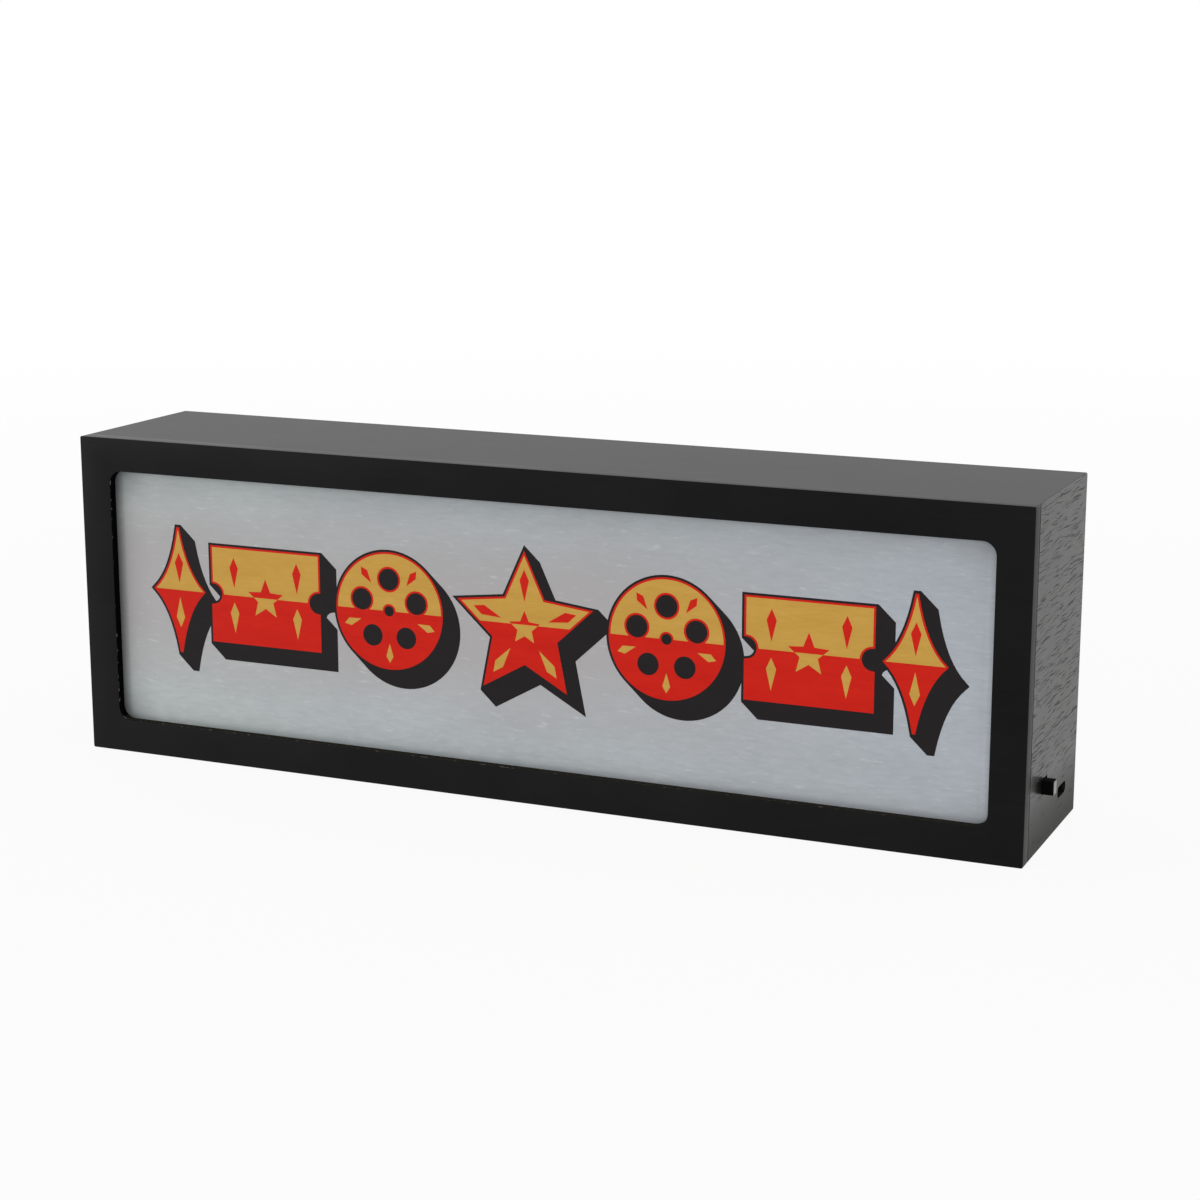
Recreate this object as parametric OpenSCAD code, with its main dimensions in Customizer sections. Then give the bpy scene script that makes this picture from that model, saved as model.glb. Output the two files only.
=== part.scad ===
// Slim free-standing light box: a wrapped board case with a windowed front frame, a printed
// sheet on an opal panel, light strips on the inside walls, cells behind a hinged door at the
// back, and a slide switch and charging socket through the right-hand board.
// Frame: X across the front, Y from the front to the back, Z up, origin at the centre of the base.

/* [Case] */
// Width across the front
box_w = 300; // [260:5:420]
// Height
box_h = 99.5; // [90:0.5:150]
// Depth from the face of the front frame to the back edges of the boards
box_d = 59; // [55:0.5:80]
// Thickness of the four wrapped boards
wall_t = 3; // [2.5:0.25:4]
// Radius worn on the case's long corners by the wrap
corner_r = 1; // [0.5:0.25:2]

/* [Front frame] */
// Width of the frame's border round the window
border = 10.2; // [9:0.2:16]
// Radius of the window's corners
window_r = 4; // [2:0.5:8]
// Thickness of the lip in front of the printed sheet
lip_t = 3; // [2:0.25:4]
// Depth of the fine seam behind the frame
seam_deep = 0.4; // [0.2:0.1:0.8]
// Width of the fine seam behind the frame
seam_w = 0.3; // [0.2:0.1:0.6]

/* [Panel] */
// Thickness of the opal panel
panel_t = 2; // [1.5:0.25:3]
// Thickness of the printed sheet
sheet_t = 0.3; // [0.2:0.1:0.6]
// Overlap of the panel behind the frame's lip
panel_lap = 4; // [3:0.25:4.5]
// Play between the panel's edge and its rebate
panel_gap = 0.25; // [0.1:0.05:0.5]
// Width of the battens that hold the panel in
batten_w = 6; // [5:0.5:8]
// Depth of the battens
batten_d = 5; // [3:0.5:6]

/* [Back panel] */
// Thickness of the back panel
back_t = 3; // [2.5:0.25:4]
// Distance from the boards' back edges in to the back panel
back_inset = 2.5; // [2.4:0.1:4]
// Play between the back panel and the boards
back_gap = 0.3; // [0.1:0.1:0.6]
// Thickness of the white card inside the back panel
card_t = 0.5; // [0.3:0.1:1]
// Side of the square blocks that take the back screws
block_w = 9; // [8:0.5:12]
// Length of the blocks
block_l = 12; // [11:0.5:14]
// Distance of the outer screws from the end boards
screw_inset = 22; // [20:1:30]
// Diameter of the back screws
screw_d = 2.9; // [2.5:0.1:3.5]
// Length of the back screws under the head
screw_l = 12; // [9:0.5:13]
// Distance between the two keyholes
keyhole_pitch = 200; // [160:5:240]
// Radius of a keyhole's round entry
keyhole_r = 4; // [3.5:0.25:5]
// Width of a keyhole's slot
keyhole_slot = 4.6; // [4:0.2:5.5]
// Rise of the slot above the entry's centre
keyhole_rise = 8; // [7:0.5:10]

/* [Cells] */
// Diameter of a cell
cell_d = 14.5; // [10.5:0.5:14.5]
// Length of a cell with its raised end
cell_l = 50.5; // [44.5:0.5:50.5]
// Diameter of a cell's raised end
nub_d = 5.5; // [4:0.5:6]
// Length of a cell's raised end
nub_l = 1.2; // [0.8:0.1:1.6]
// Play round each cell
cell_gap = 0.4; // [0.3:0.1:0.8]
// Length of a contact spring with its cell in
spring_l = 4.5; // [3.5:0.5:6]
// Thickness of the contact plates
contact_t = 0.4; // [0.3:0.1:0.6]

/* [Cell tray and door] */
// Wall of the tray
tray_wall = 1.5; // [1.2:0.1:2]
// Extra wall where the tray passes through the back panel
collar_w = 2.2; // [2.2:0.1:3]
// Width of the flange that rests on the back panel
flange_w = 3; // [2.6:0.2:5]
// Height of the flange above the back panel
flange_t = 2; // [2:0.1:2.2]
// Thickness of the door
door_t = 2.4; // [2:0.1:2.5]
// Play round the door
door_gap = 0.3; // [0.2:0.05:0.5]
// Radius of the door's hinge pins
hinge_pin_r = 0.7; // [0.5:0.05:0.75]
// Length of a hinge pin
hinge_pin_l = 2; // [1.2:0.1:2]
// Running clearance of a hinge pin, on the radius
hinge_play = 0.05; // [0.03:0.01:0.08]
// Width of the door's latch tongue
tongue_w = 12; // [8:1:20]
// Length of the slits beside the tongue
tongue_l = 9; // [6:1:14]

/* [Switch] */
// Distance from the frame's face to the knob when it is forward
knob_y = 18.6; // [18:0.2:20]
// Height of the switch's centre above the base
switch_z = 17.8; // [17:0.1:24]
// Length of the knob along its travel
knob_w = 3.6; // [3:0.1:5]
// Height of the knob
knob_h = 4.1; // [3.6:0.1:6]
// How far the knob stands out of the case
knob_out = 3.3; // [2:0.1:5]
// Travel of the knob
knob_travel = 2; // [1.5:0.5:4]
// Play round the knob in its slots
knob_gap = 0.25; // [0.2:0.05:0.5]
// Depth of the switch's metal can
can_d = 5; // [4.5:0.5:7]
// Height of the can
can_h = 8.5; // [8:0.5:9]
// Length of the can
can_l = 13; // [12.5:0.5:14]
// Thickness of the can's metal
can_t = 0.5; // [0.3:0.1:0.6]
// Length of the can's two ears, tip to tip
ear_l = 21.6; // [21:0.2:22]

/* [Charging socket] */
// Distance from the boards' back edges to the socket's centre
socket_back = 16.7; // [15:0.1:19]
// Height of the socket's centre above the base
socket_z = 10.7; // [10:0.1:11.2]
// Width of the socket's metal shell
shell_w = 7.5; // [7:0.1:8]
// Height of the shell
shell_h = 2.6; // [2.4:0.1:2.9]
// Length of the shell
shell_l = 5.6; // [5:0.2:6.4]
// How far the socket's mouth lies inside the case's surface
socket_in = 0.8; // [0.4:0.1:1.4]
// Length of the slot for the socket
socket_slot_w = 9.5; // [8.6:0.1:10.5]
// Height of the slot for the socket
socket_slot_h = 3.4; // [3.2:0.1:3.8]
// Thickness of the socket's circuit board
circuit_t = 1.2; // [0.8:0.1:1.6]

/* [Light strips] */
// Distance of the strips' ends from the end boards
strip_end = 17; // [16:1:45]
// Width of a light strip
strip_w = 8; // [7:0.5:10]
// Thickness of a light strip
strip_t = 0.4; // [0.3:0.1:0.8]
// Number of lamps on a strip
lamp_count = 9; // [6:1:11]
// Side of a lamp
lamp_w = 5; // [3:0.5:5]
// Height of a lamp
lamp_h = 1.6; // [1:0.1:2]
// Distance of the strips' middle from the frame's face
strip_y = 27.5; // [24:0.5:30]

/* [Hidden] */
$fn = 48;
eps = 0.01;

// Case
front_y = -box_d / 2;
back_y = box_d / 2;
frame_t = lip_t + sheet_t + panel_t;
board_y = front_y + frame_t;
sheet_y = front_y + lip_t;
panel_y = sheet_y + sheet_t;
in_x = box_w / 2 - wall_t;
in_h = box_h - 2 * wall_t;
window_w = box_w - 2 * border;
window_h = box_h - 2 * border;
panel_w = window_w + 2 * panel_lap;
panel_h = window_h + 2 * panel_lap;
mid_z = box_h / 2;

// Back
back_out_y = back_y - back_inset;
back_in_y = back_out_y - back_t;
block_xs = [-in_x + screw_inset, 0, in_x - screw_inset];
block_zs = [wall_t + block_w / 2, box_h - wall_t - block_w / 2];
head_d = 2 * screw_d;
head_h = 1.6;
screw_hole_play = 0.2;
screw_bite_play = 0.05;
card_edge = 1;
card_hole_play = 3;
card_tray_play = 0.5;
card_web = 2.4;
card_top_z = box_h - wall_t - block_w - card_edge;
keyhole_z = card_top_z - card_web - card_hole_play - keyhole_slot / 2 - keyhole_rise;

// Cells and tray
cells = 3;
cell_pitch = cell_d + cell_gap;
contact_slack = 0.1;
cell_under_door = 0.5;
tray_in_w = cell_l + spring_l + 2 * contact_t + 2 * contact_slack;
tray_in_h = cells * cell_pitch + cell_gap;
tray_w = tray_in_w + 2 * tray_wall;
tray_h = tray_in_h + 2 * tray_wall;
rim_out_y = back_out_y + flange_t;
door_in_y = rim_out_y - door_t;
ledge_y = door_in_y - door_gap;
cell_y = ledge_y - cell_under_door - cell_d / 2;
tray_floor_y = cell_y - cell_d / 2 - cell_gap;
tray_front_y = tray_floor_y - tray_wall;
tray_hole_play = 0.2;
door_w = tray_w - 2 * door_gap;
door_top_z = mid_z + tray_h / 2 - door_gap;
hinge_y = rim_out_y - door_t / 2;
hinge_z = mid_z - tray_h / 2 + door_gap + door_t / 2;
hinge_bore_l = tray_w + 2 * (hinge_pin_l + hinge_play);
slit_w = 0.8;
grip_ribs = 3;
grip_rib_h = 0.35;
grip_rib_w = 0.8;
grip_rib_pitch = 2;
grip_edge = 1.6;
grip_end = 2;
contact_inset = 2;
contact_w = cell_d - 2 * contact_inset;
tab_w = 3;
tab_out = 3;
tab_play = 0.15;
cradle_h = 3;
cradle_t = 1.2;
cradle_end = 12;
cradle_x = tray_in_w / 2 - cradle_end;
spring_wire_r = 0.35;
spring_base_r = 4.6;
spring_tip_r = 2.6;
spring_turns = 4;
spring_flat = 0.12;
spring_steps = 10;
spring_sides = 6;
cap_inset = 1.1;
cap_drop = 0.5;
foot_inset = 1;
foot_bevel = 0.4;

// Switch
knob_front_y = front_y + knob_y;
slot_y = knob_front_y + (knob_w + knob_travel) / 2;
slot_l = knob_w + knob_travel + 2 * knob_gap;
slot_h = knob_h + 2 * knob_gap;
can_x = in_x - can_d;
can_in_l = can_l - 2 * can_t;
can_in_h = can_h - 2 * can_t;
foot_l = can_in_l - knob_travel - 2 * knob_gap;
foot_h = can_in_h - 2 * knob_gap;
foot_t = 1.2;
foot_x = in_x - can_t - knob_gap - foot_t;
bridge_t = 0.3;
base_t = 1;
base_play = 0.05;
pin_w = 1.2;
pin_t = 0.5;
pin_out = 3.5;
pin_in = foot_x - bridge_t - knob_gap - can_x - base_t;
pin_pitch = 3.5;
ear_step = 0.75;
ear_h = can_h - 2 * ear_step;
ear_hole_r = 1.1;
ear_screw_y = (can_l + ear_l) / 4;
ear_screw_r = 0.95;
ear_screw_bite = 2.2;
ear_screw_l = ear_screw_bite + can_t;
ear_head_r = 1.8;
ear_head_h = 1.1;

// Charging socket
socket_y = back_y - socket_back;
mouth_x = box_w / 2 - socket_in;
shell_t = 0.3;
shell_chamfer = 0.9;
shell_knee = 0.1;
tongue_root = [1, 5.2, 1.7];
tongue_blade = [shell_l - 1.4, 3.8, 0.6];
tongue_rise = 0.4;
circuit_w = 12;
circuit_l = 12.5;
circuit_gap = 0.2;
circuit_x = in_x - circuit_gap;
circuit_top_z = socket_z - shell_h / 2;
block_top_z = circuit_top_z - circuit_t;
socket_block_w = 10;
socket_block_l = 9;
circuit_overhang = 1;
socket_block_x = circuit_x - circuit_l + circuit_overhang;
socket_screw_r = 0.9;
socket_screw_bite = 3.5;
socket_screw_l = circuit_t + socket_screw_bite;
socket_screw_tip = 0.3;
socket_screw_head_r = 1.7;
socket_screw_head_h = 1;
socket_screw_edge = 2;
socket_screw_x = socket_block_x + 1.2 * socket_screw_edge;
socket_screw_y = socket_block_w / 2 - socket_screw_edge;

// Light strips
strip_l = 2 * (in_x - strip_end);
strip_cy = front_y + strip_y;
lamp_end = 10;
lamp_pitch = (strip_l - 2 * lamp_end) / (lamp_count - 1);
lamp_rim = 0.4;
pad_end = 1.5;
pad_pitch = 4;
pad_side = 2.2;
lower_strip_z = wall_t + strip_t;
upper_strip_z = box_h - wall_t - strip_t;
resistor = [3.2, 1.6, 0.6];

// Leads
lead_r = 0.7;
lead_sides = 8;
lead_steps = 4;
lead_stub = 2.5;
link_off_wall = 4;
link_rise = 16;

// Screw heads, as shares of the head's radius or height
head_top = 0.8;
cross_l = 0.55;
cross_w = 0.11;
cross_floor = 0.45;

// Colours
wrap_black = [0.09, 0.09, 0.09];
ply_pale = [0.83, 0.72, 0.54];
moulded_black = [0.07, 0.07, 0.075];
tin = [0.78, 0.78, 0.76];
steel_dark = [0.16, 0.16, 0.17];

// ---- Shared shapes ----

// A plate of 2D outline (x, z), from y to y + t
module plate_y(y, t) {
    translate([0, y + t, 0]) rotate([90, 0, 0]) linear_extrude(t) children();
}

// A plate of 2D outline (y, z), from x to x + t
module plate_x(x, t) {
    translate([x, 0, 0]) rotate([90, 0, 90]) linear_extrude(t) children();
}

// A centred rectangle with true round corners
module rounded(w, h, r) {
    square([w - 2 * r, h], center = true);
    square([w, h - 2 * r], center = true);
    for (x = [-1, 1], y = [-1, 1])
        translate([x * (w / 2 - r), y * (h / 2 - r)]) circle(r);
}

// A box from its low corner to its high corner
module block(low, high) {
    translate(low) cube(high - low);
}

// A pan-head screw along +Y, with the underside of its head at the origin
module pan_screw(r, l, head_r, head_t) {
    difference() {
        union() {
            rotate([90, 0, 0]) cylinder(r = r, h = l);
            rotate([-90, 0, 0]) cylinder(r1 = head_r, r2 = head_r * head_top, h = head_t);
        }
        for (a = [0, 90])
            rotate([0, a, 0])
                translate([-head_r * cross_l, head_t * cross_floor, -head_r * cross_w])
                    cube([2 * head_r * cross_l, head_t, 2 * head_r * cross_w]);
    }
}

// Catmull-Rom point between b and c at u, with a and d on either side
function bend(a, b, c, d, u) =
    0.5 * (2 * b + (c - a) * u + (2 * a - 5 * b + 4 * c - d) * u * u
        + (3 * b - a - 3 * c + d) * u * u * u);

// A smooth run of points through a short list
function smooth(p, n) = let (last = len(p) - 1) concat(
    [for (i = [0 : last - 1], s = [0 : n - 1])
        bend(p[max(i - 1, 0)], p[i], p[i + 1], p[min(i + 2, last)], s / n)],
    [p[last]]);

function unit(v) = v / norm(v);

// Side vector of a tube at a point, square to its direction t
function side_of(t) = unit(cross(t, abs(t[2]) > 0.9 ? [0, 1, 0] : [0, 0, 1]));

// Direction of the path at point i; the ends keep the direction they are given
function heading(p, i, first, final) =
    i == 0 ? first : i == len(p) - 1 ? final : unit(p[i + 1] - p[i - 1]);

// Side vectors carried along the path, so that the tube doesn't twist
function carried(p, first, final, i = 0, side = undef) =
    let (t = heading(p, i, first, final),
         s = is_undef(side) ? side_of(t) : unit(side - t * (side * t)))
    i == len(p) - 1 ? [s] : concat([s], carried(p, first, final, i + 1, s));

// A round tube swept along points
module tube(p, r, sides, first, final) {
    s = carried(p, first, final);
    n = len(p);
    rings = [for (i = [0 : n - 1]) let (t = heading(p, i, first, final), c = cross(t, s[i]))
        for (k = [0 : sides - 1]) let (a = 360 * k / sides)
            p[i] + r * (cos(a) * s[i] + sin(a) * c)];
    walls = [for (i = [0 : n - 2], k = [0 : sides - 1]) let (j = (k + 1) % sides)
        each [[i * sides + k, (i + 1) * sides + k, (i + 1) * sides + j],
              [i * sides + k, (i + 1) * sides + j, i * sides + j]]];
    ends = [[for (k = [0 : sides - 1]) k],
            [for (k = [sides - 1 : -1 : 0]) (n - 1) * sides + k]];
    polyhedron(rings, concat(walls, ends), convexity = 8);
}

// A lead from one contact to another, through the points between
module lead(from, via, to, first, final) {
    bends = concat([from + lead_stub * first], via, [to - lead_stub * final]);
    path = concat([from], smooth(bends, lead_steps), [to]);
    tube(path, lead_r, lead_sides, first, final);
}

// ---- Case ----

module case_outline() {
    translate([0, mid_z]) rounded(box_w, box_h, corner_r);
}

module front_frame() {
    color(wrap_black) difference() {
        union() {
            plate_y(front_y, frame_t - seam_w) case_outline();
            plate_y(board_y - seam_w, seam_w) translate([0, mid_z])
                rounded(box_w - 2 * seam_deep, box_h - 2 * seam_deep, corner_r);
        }
        plate_y(front_y - 1, lip_t + 2) translate([0, mid_z]) rounded(window_w, window_h, window_r);
        plate_y(sheet_y, frame_t) translate([0, mid_z])
            square([panel_w + 2 * panel_gap, panel_h + 2 * panel_gap], center = true);
    }
}

// One mitred board of the case, cut from the case's outline by its own 2D wedge
module board(wedge) {
    color(wrap_black) plate_y(board_y, back_y - board_y) intersection() {
        case_outline();
        polygon(wedge);
    }
}

module top_board() {
    board([[-box_w / 2, box_h], [-in_x, box_h - wall_t], [in_x, box_h - wall_t], [box_w / 2, box_h]]);
}

module bottom_board() {
    board([[-box_w / 2, 0], [box_w / 2, 0], [in_x, wall_t], [-in_x, wall_t]]);
}

module left_board() {
    board([[-box_w / 2, 0], [-in_x, wall_t], [-in_x, box_h - wall_t], [-box_w / 2, box_h]]);
}

module right_board() {
    difference() {
        board([[box_w / 2, 0], [box_w / 2, box_h], [in_x, box_h - wall_t], [in_x, wall_t]]);
        plate_x(in_x - 1, wall_t + 2) {
            translate([slot_y, switch_z]) square([slot_l, slot_h], center = true);
            translate([socket_y, socket_z]) rounded(socket_slot_w, socket_slot_h, socket_slot_h / 2 - eps);
        }
        for (s = [-1, 1])
            translate([in_x - 1, slot_y + s * ear_screw_y, switch_z])
                rotate([0, 90, 0]) cylinder(r = ear_screw_r + screw_bite_play, h = 1 + ear_screw_bite);
    }
}

// ---- Panel ----

module printed_sheet() {
    color("white") plate_y(sheet_y, sheet_t) translate([0, mid_z])
        square([panel_w, panel_h], center = true);
}

module opal_panel() {
    color([0.78, 0.8, 0.82]) plate_y(panel_y, panel_t) translate([0, mid_z])
        square([panel_w, panel_h], center = true);
}

module batten(low_x, high_x, low_z, high_z) {
    color(ply_pale) block([low_x, board_y, low_z], [high_x, board_y + batten_d, high_z]);
}

module upper_batten() {
    batten(-in_x, in_x, box_h - wall_t - batten_w, box_h - wall_t);
}

module lower_batten() {
    batten(-in_x, in_x, wall_t, wall_t + batten_w);
}

module left_batten() {
    batten(-in_x, -in_x + batten_w, wall_t + batten_w, box_h - wall_t - batten_w);
}

module right_batten() {
    batten(in_x - batten_w, in_x, wall_t + batten_w, box_h - wall_t - batten_w);
}

// ---- Back ----

// Round entry and slot of one keyhole, grown by play
module keyhole(play) {
    circle(keyhole_r + play);
    translate([-keyhole_slot / 2 - play, 0]) square([keyhole_slot + 2 * play, keyhole_rise]);
    translate([0, keyhole_rise]) circle(keyhole_slot / 2 + play);
}

// The tray's outline from behind, grown all round
module tray_outline(grow) {
    translate([0, mid_z]) square([tray_w + 2 * grow, tray_h + 2 * grow], center = true);
}

module at_keyholes() {
    for (s = [-1, 1]) translate([s * keyhole_pitch / 2, keyhole_z]) children();
}

module at_blocks() {
    for (x = block_xs, z = block_zs) translate([x, 0, z]) children();
}

module back_panel() {
    color(steel_dark) difference() {
        plate_y(back_in_y, back_t) translate([0, mid_z])
            square([2 * (in_x - back_gap), in_h - 2 * back_gap], center = true);
        plate_y(back_in_y - 1, back_t + 2) {
            tray_outline(collar_w + tray_hole_play);
            at_keyholes() keyhole(0);
        }
        at_blocks() translate([0, back_in_y - 1, 0]) rotate([-90, 0, 0])
            cylinder(r = screw_d / 2 + screw_hole_play, h = back_t + 2);
    }
}

module back_card() {
    color("white") difference() {
        plate_y(back_in_y - card_t, card_t) translate([0, mid_z])
            square([2 * (in_x - batten_w), 2 * (card_top_z - mid_z)], center = true);
        plate_y(back_in_y - card_t - 1, card_t + 2) {
            tray_outline(collar_w + card_tray_play);
            at_keyholes() keyhole(card_hole_play);
        }
    }
}

module screw_blocks() {
    color(ply_pale) at_blocks() difference() {
        translate([-block_w / 2, back_in_y - block_l, -block_w / 2]) cube([block_w, block_l, block_w]);
        translate([0, back_in_y + 1, 0]) rotate([90, 0, 0])
            cylinder(r = screw_d / 2 + screw_bite_play, h = screw_l - back_t + 1.5);
    }
}

module back_screws() {
    color(steel_dark) at_blocks() translate([0, back_out_y, 0])
        pan_screw(screw_d / 2, screw_l, head_d / 2, head_h);
}

// ---- Cell tray ----

// The tray's own frame: centred on the cells, y as in the case
module tray_box(w, h, y0, y1) {
    block([-w / 2, y0, mid_z - h / 2], [w / 2, y1, mid_z + h / 2]);
}

// Height of cell i, counted from the lowest
function cell_z(i) = mid_z + (i - (cells - 1) / 2) * cell_pitch;

// +1 where cell i has its raised end to the right, -1 to the left
function cell_turn(i) = i % 2 == 0 ? 1 : -1;

module cradles() {
    for (s = [-1, 1]) difference() {
        block([s * cradle_x - cradle_t / 2, tray_floor_y - eps, mid_z - tray_in_h / 2 - eps],
            [s * cradle_x + cradle_t / 2, tray_floor_y + cradle_h, mid_z + tray_in_h / 2 + eps]);
        for (i = [0 : cells - 1]) translate([0, cell_y, cell_z(i)])
            rotate([0, 90, 0]) cylinder(r = cell_d / 2 + cell_gap, h = tray_in_w, center = true);
    }
}

module tab_slots() {
    for (s = [-1, 1])
        translate([s * (tray_in_w / 2 - contact_t / 2), tray_front_y - 1, cell_z(s < 0 ? 0 : cells - 1)])
            translate([-contact_t / 2 - tab_play, 0, -tab_w / 2 - tab_play])
                cube([contact_t + 2 * tab_play, tray_wall + 2, tab_w + 2 * tab_play]);
}

module cell_tray() {
    color(moulded_black) difference() {
        union() {
            difference() {
                union() {
                    tray_box(tray_w, tray_h, tray_front_y, rim_out_y - 1);
                    tray_box(tray_w + 2 * collar_w, tray_h + 2 * collar_w, back_in_y, rim_out_y);
                    tray_box(tray_w + 2 * (collar_w + flange_w), tray_h + 2 * (collar_w + flange_w),
                        back_out_y, rim_out_y);
                }
                tray_box(tray_in_w, tray_in_h, tray_floor_y, rim_out_y + 1);
                tray_box(tray_w, tray_h, ledge_y, rim_out_y + 1);
            }
            cradles();
        }
        tab_slots();
        translate([0, hinge_y, hinge_z]) rotate([0, 90, 0])
            cylinder(r = hinge_pin_r + hinge_play, h = hinge_bore_l, center = true);
    }
}

// One contact sheet at end s (-1 left, 1 right) that spans cells a to b
module contact_sheet(s, a, b) {
    low_z = cell_z(a) - contact_w / 2;
    high_z = cell_z(b) + contact_w / 2;
    x = s > 0 ? tray_in_w / 2 - contact_t : -tray_in_w / 2;
    block([x, cell_y - contact_w / 2, low_z], [x + contact_t, cell_y + contact_w / 2, high_z]);
}

// A contact sheet with a tab through the tray's floor
module tabbed_sheet(s, i) {
    x = s > 0 ? tray_in_w / 2 - contact_t : -tray_in_w / 2;
    contact_sheet(s, i, i);
    block([x, tray_front_y - tab_out, cell_z(i) - tab_w / 2],
        [x + contact_t, cell_y, cell_z(i) + tab_w / 2]);
}

module contact_plates() {
    color(tin) {
        tabbed_sheet(-1, 0);
        contact_sheet(1, 0, 1);
        contact_sheet(-1, 1, 2);
        tabbed_sheet(1, cells - 1);
    }
}

// A cone-shaped contact spring along +X, from its base at the origin; its end turns lie flat
module contact_spring() {
    steps = spring_turns * spring_steps;
    run = spring_l - 2 * spring_wire_r;
    path = [for (i = [0 : steps]) let (u = i / steps, a = 360 * spring_turns * u,
        rise = min(1, max(0, (u - spring_flat) / (1 - 2 * spring_flat))),
        r = spring_base_r + (spring_tip_r - spring_base_r) * u)
        [spring_wire_r + run * rise, r * cos(a), r * sin(a)]];
    tube(path, spring_wire_r, spring_sides, [0, 0, 1], [0, 0, 1]);
}

module contact_springs() {
    color(tin) for (i = [0 : cells - 1]) let (s = -cell_turn(i))
        translate([s * (tray_in_w / 2 - contact_t), cell_y, cell_z(i)])
            mirror([s > 0 ? 1 : 0, 0, 0]) contact_spring();
}

// Half section of a cell along +Y, from its raised end
module cell_section() {
    polygon([
        [0, 0],
        [nub_d / 2, 0],
        [nub_d / 2, nub_l],
        [cell_d / 2 - cap_inset, nub_l],
        [cell_d / 2, nub_l + cap_drop],
        [cell_d / 2, cell_l - foot_bevel],
        [cell_d / 2 - foot_inset, cell_l],
        [0, cell_l]
    ]);
}

module cell(i) {
    t = cell_turn(i);
    x = t * (tray_in_w / 2 - contact_t - contact_slack);
    color([0.13, 0.13, 0.14]) translate([x, cell_y, cell_z(i)])
        rotate([0, -90 * t, 0]) rotate_extrude() cell_section();
}

module lower_cell() {
    cell(0);
}

module middle_cell() {
    cell(1);
}

module upper_cell() {
    cell(2);
}

module cell_door() {
    color(moulded_black) {
        difference() {
            union() {
                block([-door_w / 2, door_in_y, hinge_z], [door_w / 2, rim_out_y, door_top_z]);
                translate([0, hinge_y, hinge_z]) rotate([0, 90, 0]) {
                    cylinder(r = door_t / 2, h = door_w, center = true);
                    cylinder(r = hinge_pin_r, h = door_w + 2 * (door_gap + hinge_pin_l), center = true);
                }
                for (k = [0 : grip_ribs - 1]) let (z = door_top_z - grip_edge - grip_rib_pitch * k)
                    block([-tongue_w / 2 + grip_end, rim_out_y - eps, z - grip_rib_w],
                        [tongue_w / 2 - grip_end, rim_out_y + grip_rib_h, z]);
            }
            for (s = [-1, 1])
                translate([s * (tongue_w + slit_w) / 2 - slit_w / 2, door_in_y - 1, door_top_z - tongue_l])
                    cube([slit_w, door_t + 2, tongue_l + 1]);
        }
    }
}

// ---- Switch ----

module at_switch() {
    translate([0, slot_y, switch_z]) children();
}

module at_ear_screws() {
    at_switch() for (s = [-1, 1]) translate([in_x - can_t, s * ear_screw_y, 0]) children();
}

module switch_can() {
    color(tin) difference() {
        at_switch() union() {
            block([can_x, -can_l / 2, -can_h / 2], [in_x, can_l / 2, can_h / 2]);
            block([in_x - can_t, -ear_l / 2, -ear_h / 2], [in_x, ear_l / 2, ear_h / 2]);
        }
        at_switch() block([can_x - 1, -can_in_l / 2, -can_in_h / 2],
            [in_x - can_t, can_in_l / 2, can_in_h / 2]);
        at_switch() block([in_x - 1, -slot_l / 2, -slot_h / 2], [in_x + 1, slot_l / 2, slot_h / 2]);
        at_ear_screws() rotate([0, 90, 0]) cylinder(r = ear_hole_r, h = 4, center = true);
    }
}

module at_pins() {
    at_switch() for (k = [-1, 0, 1]) translate([can_x, k * pin_pitch, 0]) children();
}

module switch_base() {
    color([0.45, 0.27, 0.12]) difference() {
        at_switch() block([can_x, -can_in_l / 2 + base_play, -can_in_h / 2 + base_play],
            [can_x + base_t, can_in_l / 2 - base_play, can_in_h / 2 - base_play]);
        at_pins() cube([4 * base_t, pin_t + 2 * base_play, pin_w + 2 * base_play], center = true);
    }
}

module switch_pins() {
    color(tin) at_pins()
        block([-pin_out, -pin_t / 2, -pin_w / 2], [base_t + pin_in, pin_t / 2, pin_w / 2]);
}

module switch_screws() {
    color(steel_dark) at_ear_screws() rotate([0, 0, 90])
        pan_screw(ear_screw_r, ear_screw_l, ear_head_r, ear_head_h);
}

// The knob stands forward at rest, half its travel before the middle of its slot
module at_knob() {
    translate([0, slot_y - knob_travel / 2, switch_z]) children();
}

module switch_knob() {
    color(moulded_black) at_knob() {
        block([foot_x, -foot_l / 2, -foot_h / 2], [foot_x + foot_t, foot_l / 2, foot_h / 2]);
        block([foot_x, -knob_w / 2, -knob_h / 2], [box_w / 2 + knob_out, knob_w / 2, knob_h / 2]);
    }
}

module switch_bridge() {
    color("peru") at_knob()
        block([foot_x - bridge_t, -foot_l / 2 + 0.5, -pin_w], [foot_x, foot_l / 2 - 0.5, pin_w]);
}

// ---- Charging socket ----

module shell_outline(play) {
    w = shell_w / 2 - play;
    h = shell_h / 2 - play;
    polygon([[-w, h], [w, h], [w, -shell_knee], [w - shell_chamfer, -h], [-w + shell_chamfer, -h],
        [-w, -shell_knee]]);
}

module socket_shell() {
    color(tin) translate([0, socket_y, socket_z]) difference() {
        plate_x(mouth_x - shell_l, shell_l) shell_outline(0);
        plate_x(mouth_x - shell_l + shell_t, shell_l) shell_outline(shell_t);
    }
}

module socket_tongue() {
    color(moulded_black) translate([mouth_x - shell_l + shell_t, socket_y, socket_z]) {
        translate([0, -tongue_root[1] / 2, -tongue_root[2] / 2]) cube(tongue_root);
        translate([0, -tongue_blade[1] / 2, tongue_rise - tongue_blade[2] / 2]) cube(tongue_blade);
    }
}

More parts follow.
